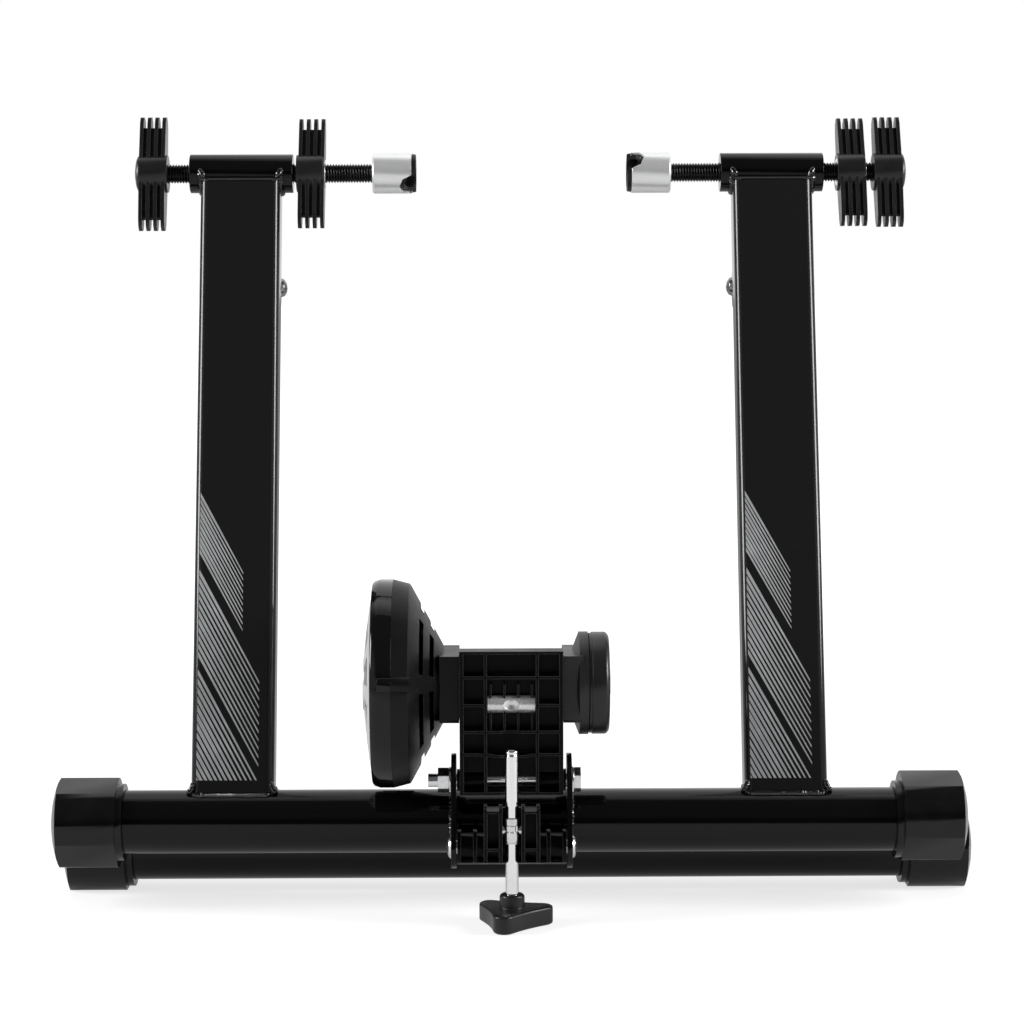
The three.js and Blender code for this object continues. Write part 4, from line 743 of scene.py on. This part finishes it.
world = bpy.data.worlds.new("studio")
scene.world = world
world.use_nodes = True
tree = world.node_tree
tree.nodes.clear()
out = tree.nodes.new("ShaderNodeOutputWorld")
white = tree.nodes.new("ShaderNodeBackground")
white.inputs["Color"].default_value = (1, 1, 1, 1)
room = tree.nodes.new("ShaderNodeBackground")
_, ray = axes(tree, "Generated")
sideways = calculate(tree, "ABSOLUTE", ray["X"])
arch = calculate(tree, "MULTIPLY", remap(tree, sideways, ARCH_SIDE_BAND, 1.0, 0.0, smooth=True),
                 remap(tree, ray["Y"], ARCH_BACK_BAND, 0.0, 1.0, smooth=True))
flank = calculate(tree, "MULTIPLY", remap(tree, sideways, FLANK_SIDE_BAND, 0.0, 1.0, smooth=True),
                  remap(tree, ray["Z"], FLANK_UP_BAND, 1.0, 0.0, smooth=True))
wall = remap(tree, ray["Z"], WALL_UP_BAND, HORIZON_LEVEL, WALL_LEVEL, smooth=True)
level = calculate(tree, "ADD", calculate(tree, "MULTIPLY", arch, ARCH_LEVEL), wall)
level = calculate(tree, "ADD", calculate(tree, "MULTIPLY", flank, SIDE_LEVEL), level)
tree.links.new(level, room.inputs["Strength"])
# The camera sees white all round, and glossy and transmission rays see it in the arch
camera_rays, sheen_rays = light_rays(tree)
shown = calculate(tree, "MAXIMUM", camera_rays, calculate(tree, "MULTIPLY", arch, sheen_rays))
choose = tree.nodes.new("ShaderNodeMixShader")
for socket, value in zip(choose.inputs, (shown, room.outputs[0], white.outputs[0])):
    tree.links.new(value, socket)
tree.links.new(choose.outputs[0], out.inputs[0])


TOP_PLACE, TOP_AIM, TOP_SIZE, TOP_POWER = (0.0, 0.30, 1.75), (0.0, 0.0, 0.1), (1.5, 0.7), 1.5
STRIP_OUT, STRIP_BACK, STRIP_UP = 1.62, -0.32, 0.86
STRIP_AIM, STRIP_SIZE, STRIP_POWER = (0.0, 0.0, 0.25), (0.55, 0.75), 25


def lamp(name, place, target, size, power):
    """An area lamp; metres and watts."""
    light = bpy.data.lights.new(name, "AREA")
    light.shape = "RECTANGLE"
    light.size, light.size_y = size
    light.energy = power
    obj = bpy.data.objects.new(name, light)
    scene.collection.objects.link(obj)
    obj.location = place
    obj.rotation_euler = (Vector(target) - Vector(place)).to_track_quat("-Z", "Y").to_euler()


lamp("top_box", TOP_PLACE, TOP_AIM, TOP_SIZE, TOP_POWER)
for name, side in (("left_strip", -1), ("right_strip", 1)):
    lamp(name, (side * STRIP_OUT, STRIP_BACK, STRIP_UP), STRIP_AIM, STRIP_SIZE, STRIP_POWER)


# Floor: white, with only its shadows showing, and grey in the part's reflections; metres

FLOOR_REACH, FLOOR_DROP = 14.0, 0.0002
FLOOR_COLOR, FLOOR_ROUGH = (0.38, 0.38, 0.38), 0.9
NEAR_GLOW, FAR_GLOW, FRONT_GLOW, BACK_GLOW = 0.74, 1.05, 0.36, 0.15
FAR_BAND, BACK_BAND = (0.45, 1.3), (0.0, 0.5)
mesh = bpy.data.meshes.new("floor")
corners = [(-1, -1), (1, -1), (1, 1), (-1, 1)]
mesh.from_pydata([(x * FLOOR_REACH, y * FLOOR_REACH, 0) for x, y in corners], [], [(0, 1, 2, 3)])
floor = bpy.data.objects.new("floor", mesh)
scene.collection.objects.link(floor)
floor.location.z = -FLOOR_DROP
mat, tree, bsdf = shader("floor_white", FLOOR_COLOR, FLOOR_ROUGH, spec=0.0)
place, parts = axes(tree, "Object")
reach = tree.nodes.new("ShaderNodeVectorMath")
reach.operation = "LENGTH"
tree.links.new(place, reach.inputs[0])
camera_rays, sheen_rays = light_rays(tree)
seen = remap(tree, reach.outputs["Value"], FAR_BAND, NEAR_GLOW, FAR_GLOW, smooth=True)
mirrored = remap(tree, parts["Y"], BACK_BAND, FRONT_GLOW, BACK_GLOW, smooth=True)
seen = calculate(tree, "MULTIPLY", seen, camera_rays)
mirrored = calculate(tree, "MULTIPLY", mirrored, sheen_rays)
glow = tree.nodes.new("ShaderNodeEmission")
tree.links.new(calculate(tree, "ADD", seen, mirrored), glow.inputs["Strength"])
add = tree.nodes.new("ShaderNodeAddShader")
out = next(n for n in tree.nodes if n.type == "OUTPUT_MATERIAL")
tree.links.new(bsdf.outputs[0], add.inputs[0])
tree.links.new(glow.outputs[0], add.inputs[1])
tree.links.new(add.outputs[0], out.inputs[0])
mesh.materials.append(mat)
